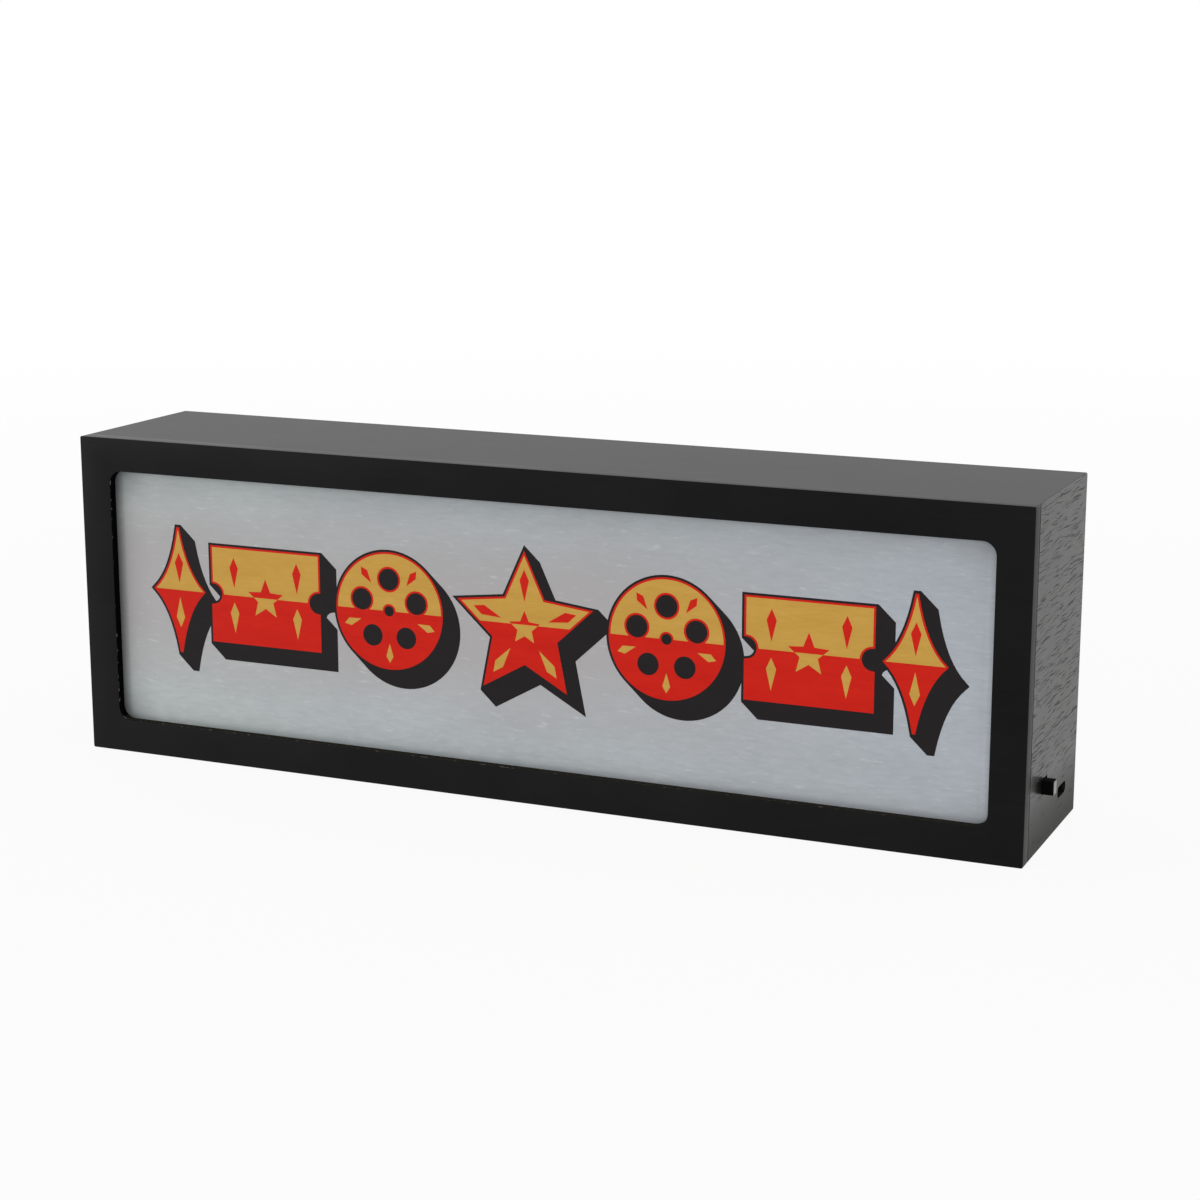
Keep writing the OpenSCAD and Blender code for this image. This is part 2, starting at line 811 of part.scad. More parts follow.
module socket_circuit() {
    color([0.05, 0.3, 0.16]) difference() {
        block([circuit_x - circuit_l, socket_y - circuit_w / 2, block_top_z],
            [circuit_x, socket_y + circuit_w / 2, circuit_top_z]);
        at_socket_screws() cylinder(r = socket_screw_r + screw_hole_play, h = 3 * circuit_t, center = true);
    }
}

module at_socket_screws() {
    for (s = [-1, 1]) translate([socket_screw_x, socket_y + s * socket_screw_y, circuit_top_z]) children();
}

module socket_block() {
    color(ply_pale) difference() {
        block([socket_block_x, socket_y - socket_block_w / 2, wall_t],
            [socket_block_x + socket_block_l, socket_y + socket_block_w / 2, block_top_z]);
        at_socket_screws() translate([0, 0, -socket_screw_l - socket_screw_tip])
            cylinder(r = socket_screw_r + screw_bite_play, h = socket_screw_l + 1);
    }
}

module socket_screws() {
    color(steel_dark) at_socket_screws() rotate([90, 0, 0])
        pan_screw(socket_screw_r, socket_screw_l, socket_screw_head_r, socket_screw_head_h);
}

// ---- Light strips ----

module light_strip(low_z) {
    color("white") block([-strip_l / 2, strip_cy - strip_w / 2, low_z],
        [strip_l / 2, strip_cy + strip_w / 2, low_z + strip_t]);
}

module upper_light_strip() {
    light_strip(upper_strip_z);
}

module lower_light_strip() {
    light_strip(wall_t);
}

// Lamps along a strip; up is 1 on the lower strip and -1 on the upper one
module lamps(z, up) {
    for (i = [0 : lamp_count - 1]) translate([(i - (lamp_count - 1) / 2) * lamp_pitch, strip_cy, z])
        mirror([0, 0, up > 0 ? 0 : 1]) {
            color("white") translate([0, 0, lamp_h / 4]) cube([lamp_w, lamp_w, lamp_h / 2], center = true);
            color("khaki") translate([0, 0, lamp_h * 3 / 4])
                cube([lamp_w - 2 * lamp_rim, lamp_w - 2 * lamp_rim, lamp_h / 2], center = true);
        }
}

module upper_lamps() {
    lamps(upper_strip_z, -1);
}

module lower_lamps() {
    lamps(lower_strip_z, 1);
}

module strip_resistors() {
    color(moulded_black) for (i = [0 : lamp_count - 2]) {
        x = (i - (lamp_count - 2) / 2) * lamp_pitch;
        translate([x, strip_cy, lower_strip_z + resistor[2] / 2]) cube(resistor, center = true);
        translate([x, strip_cy, upper_strip_z - resistor[2] / 2]) cube(resistor, center = true);
    }
}

// ---- Leads ----

// Outer face of a tray tab at end s
function tab_end(s) = [s * tray_in_w / 2, tray_front_y - tab_out / 2, cell_z(s < 0 ? 0 : cells - 1)];

// End face of switch pin k, from -1 to 1
function pin_end(k) = [can_x - pin_out, slot_y + k * pin_pitch, switch_z];

// Pad on a strip at end s, on the side q of its middle line, in row k from the strip's end
function pad(s, q, k, z) = [s * (strip_l / 2 - pad_end - pad_pitch * k), strip_cy + q * pad_side, z];

// Solder points of the socket's circuit board: one on top, one on its inner edge
circuit_top_pad = [circuit_x - circuit_l + 1, socket_y + 0.5, circuit_top_z];
circuit_edge_pad = [circuit_x - circuit_l, socket_y - 1.8, circuit_top_z - circuit_t / 2];

module cell_lead_red() {
    color("firebrick") lead(tab_end(1), [tab_end(1) + [24, -6, -18], pin_end(-1) + [-45, 2, 10]],
        pin_end(-1), [1, 0, 0], [1, 0, 0]);
}

module cell_lead_black() {
    end = pad(-1, 1, 1, lower_strip_z);
    color(moulded_black) lead(tab_end(-1), [tab_end(-1) + [-30, -3, -8], end + [22, 3, 12]],
        end, [-1, 0, 0], [0, 0, -1]);
}

module socket_lead_red() {
    color("firebrick") lead(circuit_top_pad, [pin_end(1) + [-5, 8, -1]], pin_end(1), [0, 0, 1], [1, 0, 0]);
}

module socket_lead_black() {
    end = pad(1, 1, 0, lower_strip_z);
    color(moulded_black) lead(circuit_edge_pad, [end + [1.5, 5, 5]], end, [-1, 0, 0], [0, 0, -1]);
}

module strip_lead_red() {
    color("firebrick") lead(pin_end(0), [pin_end(0) + [-8, 1, -4]],
        pad(1, -1, 0, lower_strip_z), [-1, 0, 0], [0, 0, -1]);
}

// A lead from the lower strip to the upper one, up the inside of the left-hand board
module link_lead(q) {
    low = pad(-1, q, 0, lower_strip_z);
    high = pad(-1, q, 0, upper_strip_z);
    run_x = -in_x + link_off_wall;
    rise = link_rise;
    via = [
        [run_x + 2, low[1], low[2] + rise],
        [run_x, low[1], low[2] + 2 * rise],
        [run_x, low[1], high[2] - 2 * rise],
        [run_x + 2, low[1], high[2] - rise]
    ];
    lead(low, via, high, [0, 0, 1], [0, 0, 1]);
}

module link_lead_red() {
    color("firebrick") link_lead(-1);
}

module link_lead_black() {
    color(moulded_black) link_lead(1);
}

front_frame();
top_board();
bottom_board();
left_board();
right_board();
printed_sheet();
opal_panel();
upper_batten();
lower_batten();
left_batten();
right_batten();
back_panel();
back_card();
screw_blocks();
back_screws();
cell_tray();
contact_plates();
contact_springs();
lower_cell();
middle_cell();
upper_cell();
cell_door();
switch_can();
switch_base();
switch_pins();
switch_screws();
switch_knob();
switch_bridge();
socket_shell();
socket_tongue();
socket_circuit();
socket_block();
socket_screws();
upper_light_strip();
lower_light_strip();
upper_lamps();
lower_lamps();
strip_resistors();
cell_lead_red();
cell_lead_black();
socket_lead_red();
socket_lead_black();
strip_lead_red();
link_lead_red();
link_lead_black();
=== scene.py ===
from functools import partial
from math import cos, pi, radians, sin

import bmesh
import bpy
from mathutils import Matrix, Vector
from mathutils.geometry import delaunay_2d_cdt


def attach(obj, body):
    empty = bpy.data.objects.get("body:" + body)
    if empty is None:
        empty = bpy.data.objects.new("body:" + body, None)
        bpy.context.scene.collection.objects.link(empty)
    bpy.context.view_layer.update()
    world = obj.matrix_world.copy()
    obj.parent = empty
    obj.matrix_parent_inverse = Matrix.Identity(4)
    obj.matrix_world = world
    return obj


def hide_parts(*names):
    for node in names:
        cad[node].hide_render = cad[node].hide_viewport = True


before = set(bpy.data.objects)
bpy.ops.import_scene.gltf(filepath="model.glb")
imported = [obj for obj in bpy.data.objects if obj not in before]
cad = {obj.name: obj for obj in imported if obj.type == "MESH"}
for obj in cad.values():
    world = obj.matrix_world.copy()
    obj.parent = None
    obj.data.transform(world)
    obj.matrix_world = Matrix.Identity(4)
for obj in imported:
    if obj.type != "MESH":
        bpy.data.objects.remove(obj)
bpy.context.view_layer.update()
scene = bpy.context.scene
mm = 0.001


# Nodes, for the studio, finishes and shapes

def colour(red, green, blue):  # screen values of 0 to 255, made linear
    channels = []
    for value in (red, green, blue):
        level = value / 255
        channels.append(level / 12.92 if level <= 0.04045 else ((level + 0.055) / 1.055) ** 2.4)
    return (*channels, 1.0)


def put(owner, kind, inputs=None, **settings):  # a node in the tree that the owner is, or is in
    tree = owner.id_data
    node = tree.nodes.new(kind)
    for name, value in settings.items():
        setattr(node, name, value)
    for name, value in (inputs or {}).items():
        for item in value if isinstance(value, list) else [value]:
            if isinstance(item, bpy.types.NodeSocket):
                tree.links.new(item, node.inputs[name])
            else:
                node.inputs[name].default_value = item
    return node


def made(owner, kind, inputs=None, **settings):  # the first output of such a node
    return put(owner, kind, inputs, **settings).outputs[0]


def combine(operation, *values):
    return made(values[0], "ShaderNodeMath", dict(enumerate(values)), operation=operation)


plus = partial(combine, "ADD")
minus = partial(combine, "SUBTRACT")
times = partial(combine, "MULTIPLY")
addShare = partial(combine, "MULTIPLY_ADD")  # a value, its share, and what that is added to


def spread(value, low, high, toLow=0.0, toHigh=1.0):  # the run from low to high, laid over another one
    return made(value, "ShaderNodeMapRange", {0: value, 1: low, 2: high, 3: toLow, 4: toHigh})


def distanceFrom(value, middle):
    return combine("ABSOLUTE", minus(value, middle))


def axesOf(place):
    return put(place, "ShaderNodeSeparateXYZ", {0: place}).outputs


def objectPlace(tree):
    return put(tree, "ShaderNodeTexCoord").outputs["Object"]


def emptyTree(owner):
    owner.use_nodes = True
    owner.node_tree.nodes.clear()
    return owner.node_tree


def addObject(name, data):
    thing = bpy.data.objects.new(name, data)
    scene.collection.objects.link(thing)
    return thing


# Camera, floor and light

cameraValues = {
    "place": (0.3062, -0.66992, 0.21976),
    "forward": (-0.39208, 0.89368, -0.21822),
    "lens": 75.6,
    "nearest": 0.01,
}

studioValues = {
    "floorSide": 8.0,
    "floorColour": (240, 240, 240),
    "floorGlow": 0.92,  # share of plain white, the rest takes the shadow
    "floorFade": (0.35, 1.2),  # it turns to plain white from here to there
    "ambient": 0.56,  # the world's diffuse light
    "lamps": {  # name: place, size, watts
        "keyLamp": ((-1.4, -0.95, 0.25), 0.8, 8.5),
        "fillLamp": ((0.75, -1.35, 0.2), 0.9, 8.0),
        "sideLamp": ((0.95, 1.35, 0.5), 1.6, 4.0),
        "backLamp": ((-1.1, 0.9, 1.4), 1.0, 3.0),
    },
    "lampAim": (0, 0, 0.05),
}


def aim(thing, place, forward):
    thing.location = place
    thing.rotation_euler = Vector(forward).to_track_quat("-Z", "Y").to_euler()


def setCamera(values):
    data = bpy.data.cameras.new("camera")
    data.lens = values["lens"]
    data.clip_start = values["nearest"]
    camera = addObject("camera", data)
    aim(camera, values["place"], values["forward"])
    scene.camera = camera


def seenPlainly(owner):  # 1 for the lens, gloss and clear surfaces, 0 for diffuse light
    path = put(owner, "ShaderNodeLightPath").outputs
    seen = combine("MAXIMUM", path["Is Camera Ray"], path["Is Glossy Ray"])
    return combine("MAXIMUM", seen, path["Is Transmission Ray"])


def setWorld(values):
    world = bpy.data.worlds.new("studio")
    scene.world = world
    tree = emptyTree(world)
    plain = made(tree, "ShaderNodeBackground", {"Color": (1, 1, 1, 1)})
    soft = made(tree, "ShaderNodeBackground", {"Color": (1, 1, 1, 1), "Strength": values["ambient"]})
    mix = made(tree, "ShaderNodeMixShader", {0: seenPlainly(tree), 1: soft, 2: plain})
    put(tree, "ShaderNodeOutputWorld", {"Surface": mix})


def setFloor(values):
    half = values["floorSide"] / 2
    mesh = bpy.data.meshes.new("floor")
    corners = [(-half, -half, 0), (half, -half, 0), (half, half, 0), (-half, half, 0)]
    mesh.from_pydata(corners, [], [(0, 1, 2, 3)])
    floor = addObject("floor", mesh)
    mesh.materials.append(bpy.data.materials.new("floorPaint"))
    tree = emptyTree(mesh.materials[0])
    paint = made(tree, "ShaderNodeBsdfDiffuse", {"Color": colour(*values["floorColour"])})
    glow = made(tree, "ShaderNodeEmission", {"Color": (1, 1, 1, 1)})
    away = put(tree, "ShaderNodeVectorMath", {0: objectPlace(tree)}, operation="LENGTH").outputs["Value"]
    white = times(seenPlainly(tree), spread(away, *values["floorFade"], values["floorGlow"], 1.0))
    mix = made(tree, "ShaderNodeMixShader", {0: white, 1: paint, 2: glow})
    put(tree, "ShaderNodeOutputMaterial", {"Surface": mix})


def setLamps(values):
    for name, (place, size, watts) in values["lamps"].items():
        data = bpy.data.lights.new(name, "AREA")
        data.size = size
        data.energy = watts
        aim(addObject(name, data), place, Vector(values["lampAim"]) - Vector(place))


scene.view_settings.view_transform = "Standard"
setCamera(cameraValues)
setWorld(studioValues)
setFloor(studioValues)
setLamps(studioValues)
print("camera, floor and light set")


# What the finishes share

def newMaterial(name):  # and the place on the object that its patterns follow
    material = bpy.data.materials.new(name)
    material.use_nodes = True
    return material, objectPlace(material.node_tree)


def stretched(place, scale, shift=(0, 0, 0)):
    return made(place, "ShaderNodeMapping", {"Vector": place, "Scale": scale, "Location": shift})


def noise(place, scale, detail, roughness, output=0):
    values = {"Vector": place, "Scale": scale, "Detail": detail, "Roughness": roughness}
    return put(place, "ShaderNodeTexNoise", values).outputs[output]


def swayed(place, values):  # the place, pushed about
    drift = noise(place, values["swayScale"], 2.0, 0.5, 1)
    return made(place, "ShaderNodeVectorMath", {0: drift, 1: (values["sway"],) * 3, 2: place},
                operation="MULTIPLY_ADD")


def between(pattern, *tones):  # two colours, or a socket and a colour, mixed
    first, second = [colour(*tone) if isinstance(tone, tuple) else tone for tone in tones]
    return put(pattern, "ShaderNodeMix", {0: pattern, 6: first, 7: second}, data_type="RGBA").outputs[2]


def finished(material, tones, rough, height, depth, gloss=0.5, metal=0.0):  # depth of the relief in mm
    tree = material.node_tree
    shader = tree.nodes["Principled BSDF"]
    bump = made(tree, "ShaderNodeBump", {"Height": height, "Distance": depth * mm})
    for name, socket in (("Base Color", tones), ("Roughness", rough), ("Normal", bump)):
        tree.links.new(socket, shader.inputs[name])
    shader.inputs["Specular IOR Level"].default_value = gloss
    shader.inputs["Metallic"].default_value = metal
    return material


# Vinyl wrap: matt dashes pressed along the grain

anyWrap = {
    "patchScale": 26.0,
    "patchTones": (0.15, 0.55),
    "raisedShare": 0.6,  # height of a raised dash, of a pressed one's depth
    "pressedShift": (3.1, 7.7, 1.3),
    "raisedShift": (9.4, 2.2, 5.8),
}
smoothWrap = {
    **anyWrap, "pressed": (0.56, 0.66), "raised": (0.58, 0.68), "fineScale": 2600.0, "fineShare": 0.12,
    "sway": 0.0012, "swayScale": 45.0,
}
sideWrapValues = {
    **anyWrap, "dark": (14, 14, 11), "light": (30, 29, 22), "gloss": 0.15,
    "rough": (0.27, 0.305),  # in soft patches
    "pressedRough": 0.2,  # added in a pressed dash
    "depth": 0.03, "toneShare": 0.4, "fineScale": 1100.0, "fineShare": 0.9,
    "flow": (200.0, 105.0, 2300.0), "pressed": (0.56, 0.62), "raised": (0.59, 0.68),
    "sway": 0.002, "swayScale": 110.0,
    "baseFade": (0.012, 0.023, -0.1),  # no dashes below the first height
    "baseRough": (0.003, 0.02, 0.26),  # duller towards the base
}
topWrapValues = {
    **smoothWrap, "dark": (14, 14, 14), "light": (26, 26, 25), "gloss": 0.15,
    "rough": (0.4, 0.412), "pressedRough": 0.006, "depth": 0.002, "toneShare": 0.06,
    "flow": (60.0, 420.0, 160.0),
}
frameWrapValues = {
    **smoothWrap, "dark": (4, 4, 6), "light": (24, 24, 24), "gloss": 0.09,
    "rough": (0.36, 0.4), "pressedRough": 0.02, "depth": 0.003, "toneShare": 0.08,
    "flow": (50.0, 160.0, 500.0),
    "across": (-0.15, 0.15, 0.45),  # painted light: paler towards the first end
    "crown": (0.0989, 0.0994, 0.0, -0.06),  # glossier over its top edge
}


def dashes(place, values, kind, bias):
    pattern = noise(stretched(place, values["flow"], values[kind + "Shift"]), 1.0, 1.5, 0.5)
    if bias is not None:
        pattern = plus(pattern, bias)
    return spread(pattern, *values[kind])


def vinylWrap(name, values):
    material, place = newMaterial(name)
    axes = axesOf(place)
    bent = swayed(place, values)
    patches = spread(noise(place, values["patchScale"], 4.0, 0.55), 0.3, 0.7)
    rough = spread(patches, 0.0, 1.0, *values["rough"])
    bias = None
    if "baseFade" in values:
        bias = spread(axes[2], *values["baseFade"], 0.0)
        rough = plus(rough, spread(axes[2], *values["baseRough"], 0.0))
    pressed = dashes(bent, values, "pressed", bias)
    raised = dashes(bent, values, "raised", bias)
    fine = noise(place, values["fineScale"], 2.0, 0.5)
    height = minus(times(raised, values["raisedShare"]), pressed)
    height = addShare(fine, values["fineShare"], height)
    shade = spread(patches, 0.0, 1.0, *values["patchTones"])
    shade = addShare(raised, values["toneShare"], shade)
    shade = addShare(pressed, -values["toneShare"], shade)
    # painted light: a tone gradient across the frame, paler towards one end
    if "across" in values:
        shade = plus(shade, spread(axes[0], *values["across"], 0.0))
    tones = between(shade, values["dark"], values["light"])
    rough = addShare(pressed, values["pressedRough"], rough)
    if "crown" in values:
        rough = plus(rough, spread(axes[2], *values["crown"]))
    return finished(material, tones, rough, height, values["depth"], values["gloss"])


# Cut edge of the window: dead matt, dusty on the ledge, with pale specks where the wrap ends

cutEdgeValues = {
    "dark": (2, 2, 2), "light": (5, 5, 5), "dust": (52, 49, 42), "speck": (168, 166, 158),
    "grainScale": 900.0, "speckScale": 520.0,
    "front": (-0.0295, -0.0287),  # specks only from here to there
    "ledge": (0.0104, 0.0114),  # dust only below the second height
    "dustShare": (0.35, 1.0),
    "specks": (0.6, 0.68),
    "rough": (0.82, 0.95), "relief": 0.03, "gloss": 0.03,
}


def cutEdgeFinish(name, values):
    material, place = newMaterial(name)
    axes = axesOf(place)
    grain = noise(place, values["grainScale"], 3.0, 0.6)
    tones = between(spread(grain, 0.35, 0.65), values["dark"], values["light"])
    low = spread(axes[2], *values["ledge"], 1.0, 0.0)
    dust = times(low, spread(grain, 0.3, 0.7, *values["dustShare"]))
    tones = between(dust, tones, values["dust"])
    near = spread(axes[1], *values["front"], 1.0, 0.0)
    specks = spread(noise(place, values["speckScale"], 2.0, 0.6), *values["specks"])
    tones = between(times(near, specks), tones, values["speck"])
    rough = spread(grain, 0.3, 0.7, *values["rough"])
    return finished(material, tones, rough, grain, values["relief"], values["gloss"])


# Off-white sheet with fine fibres across it

sheetValues = {
    "left": ((162, 169, 169), (178, 184, 184)),  # darker and lighter tone at the left end
    "right": ((156, 162, 168), (172, 177, 184)),  # the same at the right end
    "ends": (-0.13, 0.13),
    "blend": (0.32, 0.68),
    "warm": (166, 163, 164),  # the tone along the middle of the sheet
    "warmShare": 0.9,
    "warmMiddle": 0.053,
    "warmFade": (0.022, 0.044),  # above and below the middle the warm tone ends here
    "warmEnd": (0.02, 0.1),  # and across the sheet here
    "warmCloud": 0.02,  # its edge wanders by this much
    "bright": (196, 201, 204),  # sparse fibres that catch the light
    "brightShare": (0.6, 0.78, 0.0, 0.5),
    "fibres": (170.0, 320.0, 820.0),
    "clouds": (22.0, 10.0, 60.0),
    "sparks": (200.0, 320.0, 900.0),
    "sparkShift": (4.0, 2.0, 8.0),
    "sway": 0.003, "swayScale": 40.0,
    "rise": (0.085, 0.02, 1.03, 1.14),  # painted light: paler lower down
    "bands": [  # painted light and shade by the frame: axis, start, end and share of the tone at the end
        (0, -0.127, -0.1398, 0.84),  # painted shade, duller at the left
        (0, -0.1365, -0.1398, 0.35),  # with shade by the frame
        (0, 0.1365, 0.139, 1.2),  # painted light, paler at the right
        (2, 0.08, 0.0894, 0.86),  # painted shade, duller under the top
        (2, 0.0157, 0.0101, 0.9),  # and painted shade over the ledge
        (2, 0.0122, 0.0102, 0.74),  # with a thin line of painted shade along it
    ],
    "centre": 0.04975,
    "corners": [  # shade: from and to across, the same from the centre, depth
        (-0.126, -0.14, 0.028, 0.04, 0.5),
        (0.126, 0.14, 0.028, 0.04, 0.24),
    ],
    "rough": (0.39, 0.47), "relief": 0.015, "gloss": 0.35,
}


def fibreSheet(name, values):
    material, place = newMaterial(name)
    axes = axesOf(place)
    wavy = swayed(place, values)
    fibres = noise(stretched(wavy, values["fibres"]), 1.0, 3.0, 0.65)
    clouds = noise(stretched(place, values["clouds"]), 1.0, 4.0, 0.6)
    blend = spread(addShare(fibres, 0.6, times(clouds, 0.4)), *values["blend"])
    left = between(blend, *values["left"])
    right = between(blend, *values["right"])
    tones = between(spread(axes[0], *values["ends"]), left, right)
    away = addShare(clouds, values["warmCloud"], distanceFrom(axes[2], values["warmMiddle"]))
    near = times(spread(away, *values["warmFade"], values["warmShare"], 0.0),
                 spread(axes[0], *values["warmEnd"], 1.0, 0.0))
    tones = between(near, tones, values["warm"])
    sparks = noise(stretched(wavy, values["sparks"], values["sparkShift"]), 1.0, 2.0, 0.6)
    tones = between(spread(sparks, *values["brightShare"]), tones, values["bright"])
    upOrDown = distanceFrom(axes[2], values["centre"])
    # painted light and shade: the sheet's tone is scaled paler lower down, then by the bands and corners
    # below
    level = spread(axes[2], *values["rise"])
    for axis, start, end, share in values["bands"]:
        level = times(level, spread(axes[axis], start, end, 1.0, share))
    for start, end, low, high, depth in values["corners"]:
        corner = times(spread(axes[0], start, end), spread(upOrDown, low, high))
        level = times(level, spread(corner, 0.0, 1.0, 1.0, 1.0 - depth))
    tones = made(tones, "ShaderNodeVectorMath", {0: tones, 3: level}, operation="SCALE")
    rough = spread(fibres, 0.3, 0.7, *values["rough"])
    return finished(material, tones, rough, fibres, values["relief"], values["gloss"])


# Darker and lighter tone, scales of patches and grain, roughness from and to, relief in mm, and extras
ink = {"flow": (1, 1, 6), "gloss": 0.15}  # uneven along the sheet's fibres
plainFinishes = {
    "inkBlack": ((18, 14, 15), (25, 20, 22), (40, 260), (0.42, 0.54), 0.012, ink),
    "inkRed": ((198, 22, 6), (208, 30, 12), (40, 260), (0.42, 0.54), 0.012, ink),
    "inkYellow": ((194, 150, 66), (204, 160, 76), (40, 260), (0.42, 0.54), 0.012, ink),
    "opalFace": ((226, 228, 230), (236, 238, 240), (20, 500), (0.3, 0.42), 0.01, {}),
    "rawPine": ((186, 158, 116), (224, 202, 164), (240, 900), (0.65, 0.85), 0.08, {"flow": (0.12, 1, 1)}),
    "hardboard": ((38, 37, 36), (50, 49, 47), (60, 1300), (0.55, 0.72), 0.05, {"gloss": 0.25}),
    "whiteCard": ((222, 222, 218), (236, 236, 232), (50, 1500), (0.75, 0.9), 0.03, {}),
    "trayPlastic": ((28, 28, 29), (38, 38, 39), (70, 2400), (0.45, 0.6), 0.04, {"gloss": 0.3}),
    "knobPlastic": ((1, 1, 1), (5, 5, 5), (300, 1800), (0.65, 0.85), 0.004, {"gloss": 0.05}),
    "knobEnd": ((4, 4, 4), (12, 12, 12), (300, 1800), (0.04, 0.1), 0.002, {"gloss": 0.6}),
    "tinnedSteel": ((196, 196, 192), (224, 224, 220), (260, 1400), (0.24, 0.4), 0.01,
                    {"flow": (1, 4, 1), "metal": 1.0}),
    "springSteel": ((186, 186, 184), (216, 216, 214), (500, 2400), (0.2, 0.34), 0.006, {"metal": 1.0}),
    "blackOxide": ((34, 34, 36), (52, 52, 55), (500, 2600), (0.34, 0.5), 0.01, {"metal": 0.6}),
    # partly painted shade: the tongue's own black plastic, and a near-black shell that stands in for the
    # shade inside the socket
    "socketShadeBlack": ((1, 1, 1), (5, 5, 5), (500, 2600), (0.7, 0.85), 0.01, {"gloss": 0.03}),
    "phenolic": ((146, 96, 50), (176, 122, 70), (300, 1800), (0.4, 0.55), 0.02, {}),
    "copperAlloy": ((214, 160, 110), (236, 186, 136), (300, 1600), (0.22, 0.36), 0.006,
                    {"flow": (1, 3, 1), "metal": 1.0}),
    "cellSleeve": ((32, 33, 38), (44, 46, 52), (120, 1200), (0.24, 0.36), 0.01, {"flow": (0.4, 1, 1)}),
    "cellBand": ((176, 118, 64), (200, 140, 82), (120, 1200), (0.24, 0.36), 0.01, {"flow": (0.4, 1, 1)}),
    "greenBoard": ((26, 100, 66), (44, 132, 88), (500, 2200), (0.3, 0.45), 0.02, {}),
    "stripWhite": ((224, 224, 220), (238, 238, 235), (60, 1400), (0.45, 0.6), 0.02, {}),
    "lampShell": ((226, 226, 222), (240, 240, 236), (500, 2400), (0.35, 0.5), 0.01, {}),
    "lampGel": ((226, 200, 92), (240, 218, 120), (900, 3000), (0.2, 0.32), 0.02, {}),
    "resistorBody": ((36, 36, 38), (54, 54, 56), (900, 3000), (0.4, 0.6), 0.01, {}),
    "leadRed": ((182, 34, 30), (206, 48, 40), (160, 1600), (0.32, 0.46), 0.02, {}),
    "leadBlack": ((30, 30, 31), (44, 44, 45), (160, 1600), (0.32, 0.46), 0.02, {}),
}


def mottledFinish(name, dark, light, scales, rough, depth, flow=(1, 1, 1), gloss=0.5, metal=0.0):
    material, place = newMaterial(name)
    place = stretched(place, flow)
    patches = noise(place, scales[0], 4.0, 0.55)
    grain = noise(place, scales[1], 2.0, 0.6)
    blend = spread(addShare(grain, 0.4, times(patches, 0.6)), 0.35, 0.65)
    tones = between(blend, dark, light)
    rough = spread(patches, 0.3, 0.7, *rough)
    return finished(material, tones, rough, grain, depth, gloss, metal)


finishes = {
    "sideWrap": vinylWrap("sideWrap", sideWrapValues),
    "topWrap": vinylWrap("topWrap", topWrapValues),
    "frameWrap": vinylWrap("frameWrap", frameWrapValues),
    "cutEdge": cutEdgeFinish("cutEdge", cutEdgeValues),
    "sheetFace": fibreSheet("sheetFace", sheetValues),
}
for name, (*row, extras) in plainFinishes.items():
    finishes[name] = mottledFinish(name, *row, **extras)
print("finishes made")


# Ways to make a piece

def addPiece(name, mesh, finish, slot, *replaced, body="case"):
    if finish:
        mesh.materials.append(finishes[finish])
    piece = addObject(name, mesh)
    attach(piece, body)
    if replaced:
        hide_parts(*replaced)
    return piece


def secondFinish(mesh, finish, outwards, limit):  # on the faces that look that way
    mesh.materials.append(finishes[finish])
    for polygon in mesh.polygons:
        if polygon.normal.dot(outwards) > limit:
            polygon.material_index = 1


def meshOf(name, shape, closed=True):
    if closed:
        bmesh.ops.recalc_face_normals(shape, faces=shape.faces)
    mesh = bpy.data.meshes.new(name)
    shape.to_mesh(mesh)
    shape.free()
    return mesh


def plainMesh(thing):  # what its modifiers give
    return bpy.data.meshes.new_from_object(thing.evaluated_get(bpy.context.evaluated_depsgraph_get()))


def softened(node, name, soft, finish, slot, body="case", segments=2):  # a node's copy with eased edges
    shape = bmesh.new()
    shape.from_mesh(cad[node].data)
    bmesh.ops.remove_doubles(shape, verts=shape.verts, dist=1e-6)
    bmesh.ops.dissolve_limit(shape, angle_limit=radians(1), verts=shape.verts, edges=shape.edges)
    sharp = [edge for edge in shape.edges if edge.calc_face_angle(0) > radians(40)]
    bmesh.ops.bevel(shape, geom=sharp, offset=soft * mm, segments=segments, profile=0.5, affect="EDGES",
                    clamp_overlap=True)
    bmesh.ops.triangulate(shape, faces=[face for face in shape.faces if len(face.verts) > 4])
    return addPiece(name, meshOf(name, shape, closed=False), finish, slot, node, body=body)


def quarter(radius, steps, fromAngle):  # points round a quarter circle
    angles = [radians(fromAngle + 90 * step / steps) for step in range(steps + 1)]
    return [(radius * cos(angle), radius * sin(angle)) for angle in angles]


def roundedRing(halfWidth, halfHeight, radius, y, middle, steps):  # anticlockwise from the front, in mm
    points = []
    for corner, (sideX, sideZ) in enumerate(((1, 1), (-1, 1), (-1, -1), (1, -1))):
        for roundX, roundZ in quarter(radius, steps, 90 * corner):
            x = sideX * (halfWidth - radius) + roundX
            z = middle + (sideZ * (halfHeight - radius) + roundZ)
            points.append((x * mm, y * mm, z * mm))
    return points


def skinRings(name, rings, first, last):  # closed, through a run of the rings' points
    count = len(rings[0])
    shape = bmesh.new()
    rows = []
    for ring in rings:
        rows.append([shape.verts.new(ring[i % count]) for i in range(first, last + 1)])
    for row, nextRow in zip(rows, rows[1:] + rows[:1]):
        for i in range(last - first):
            shape.faces.new((row[i], row[i + 1], nextRow[i + 1], nextRow[i]))
    shape.faces.new([row[0] for row in rows])
    shape.faces.new([row[-1] for row in rows])
    return meshOf(name, shape)


# What the Geometry Nodes trees share

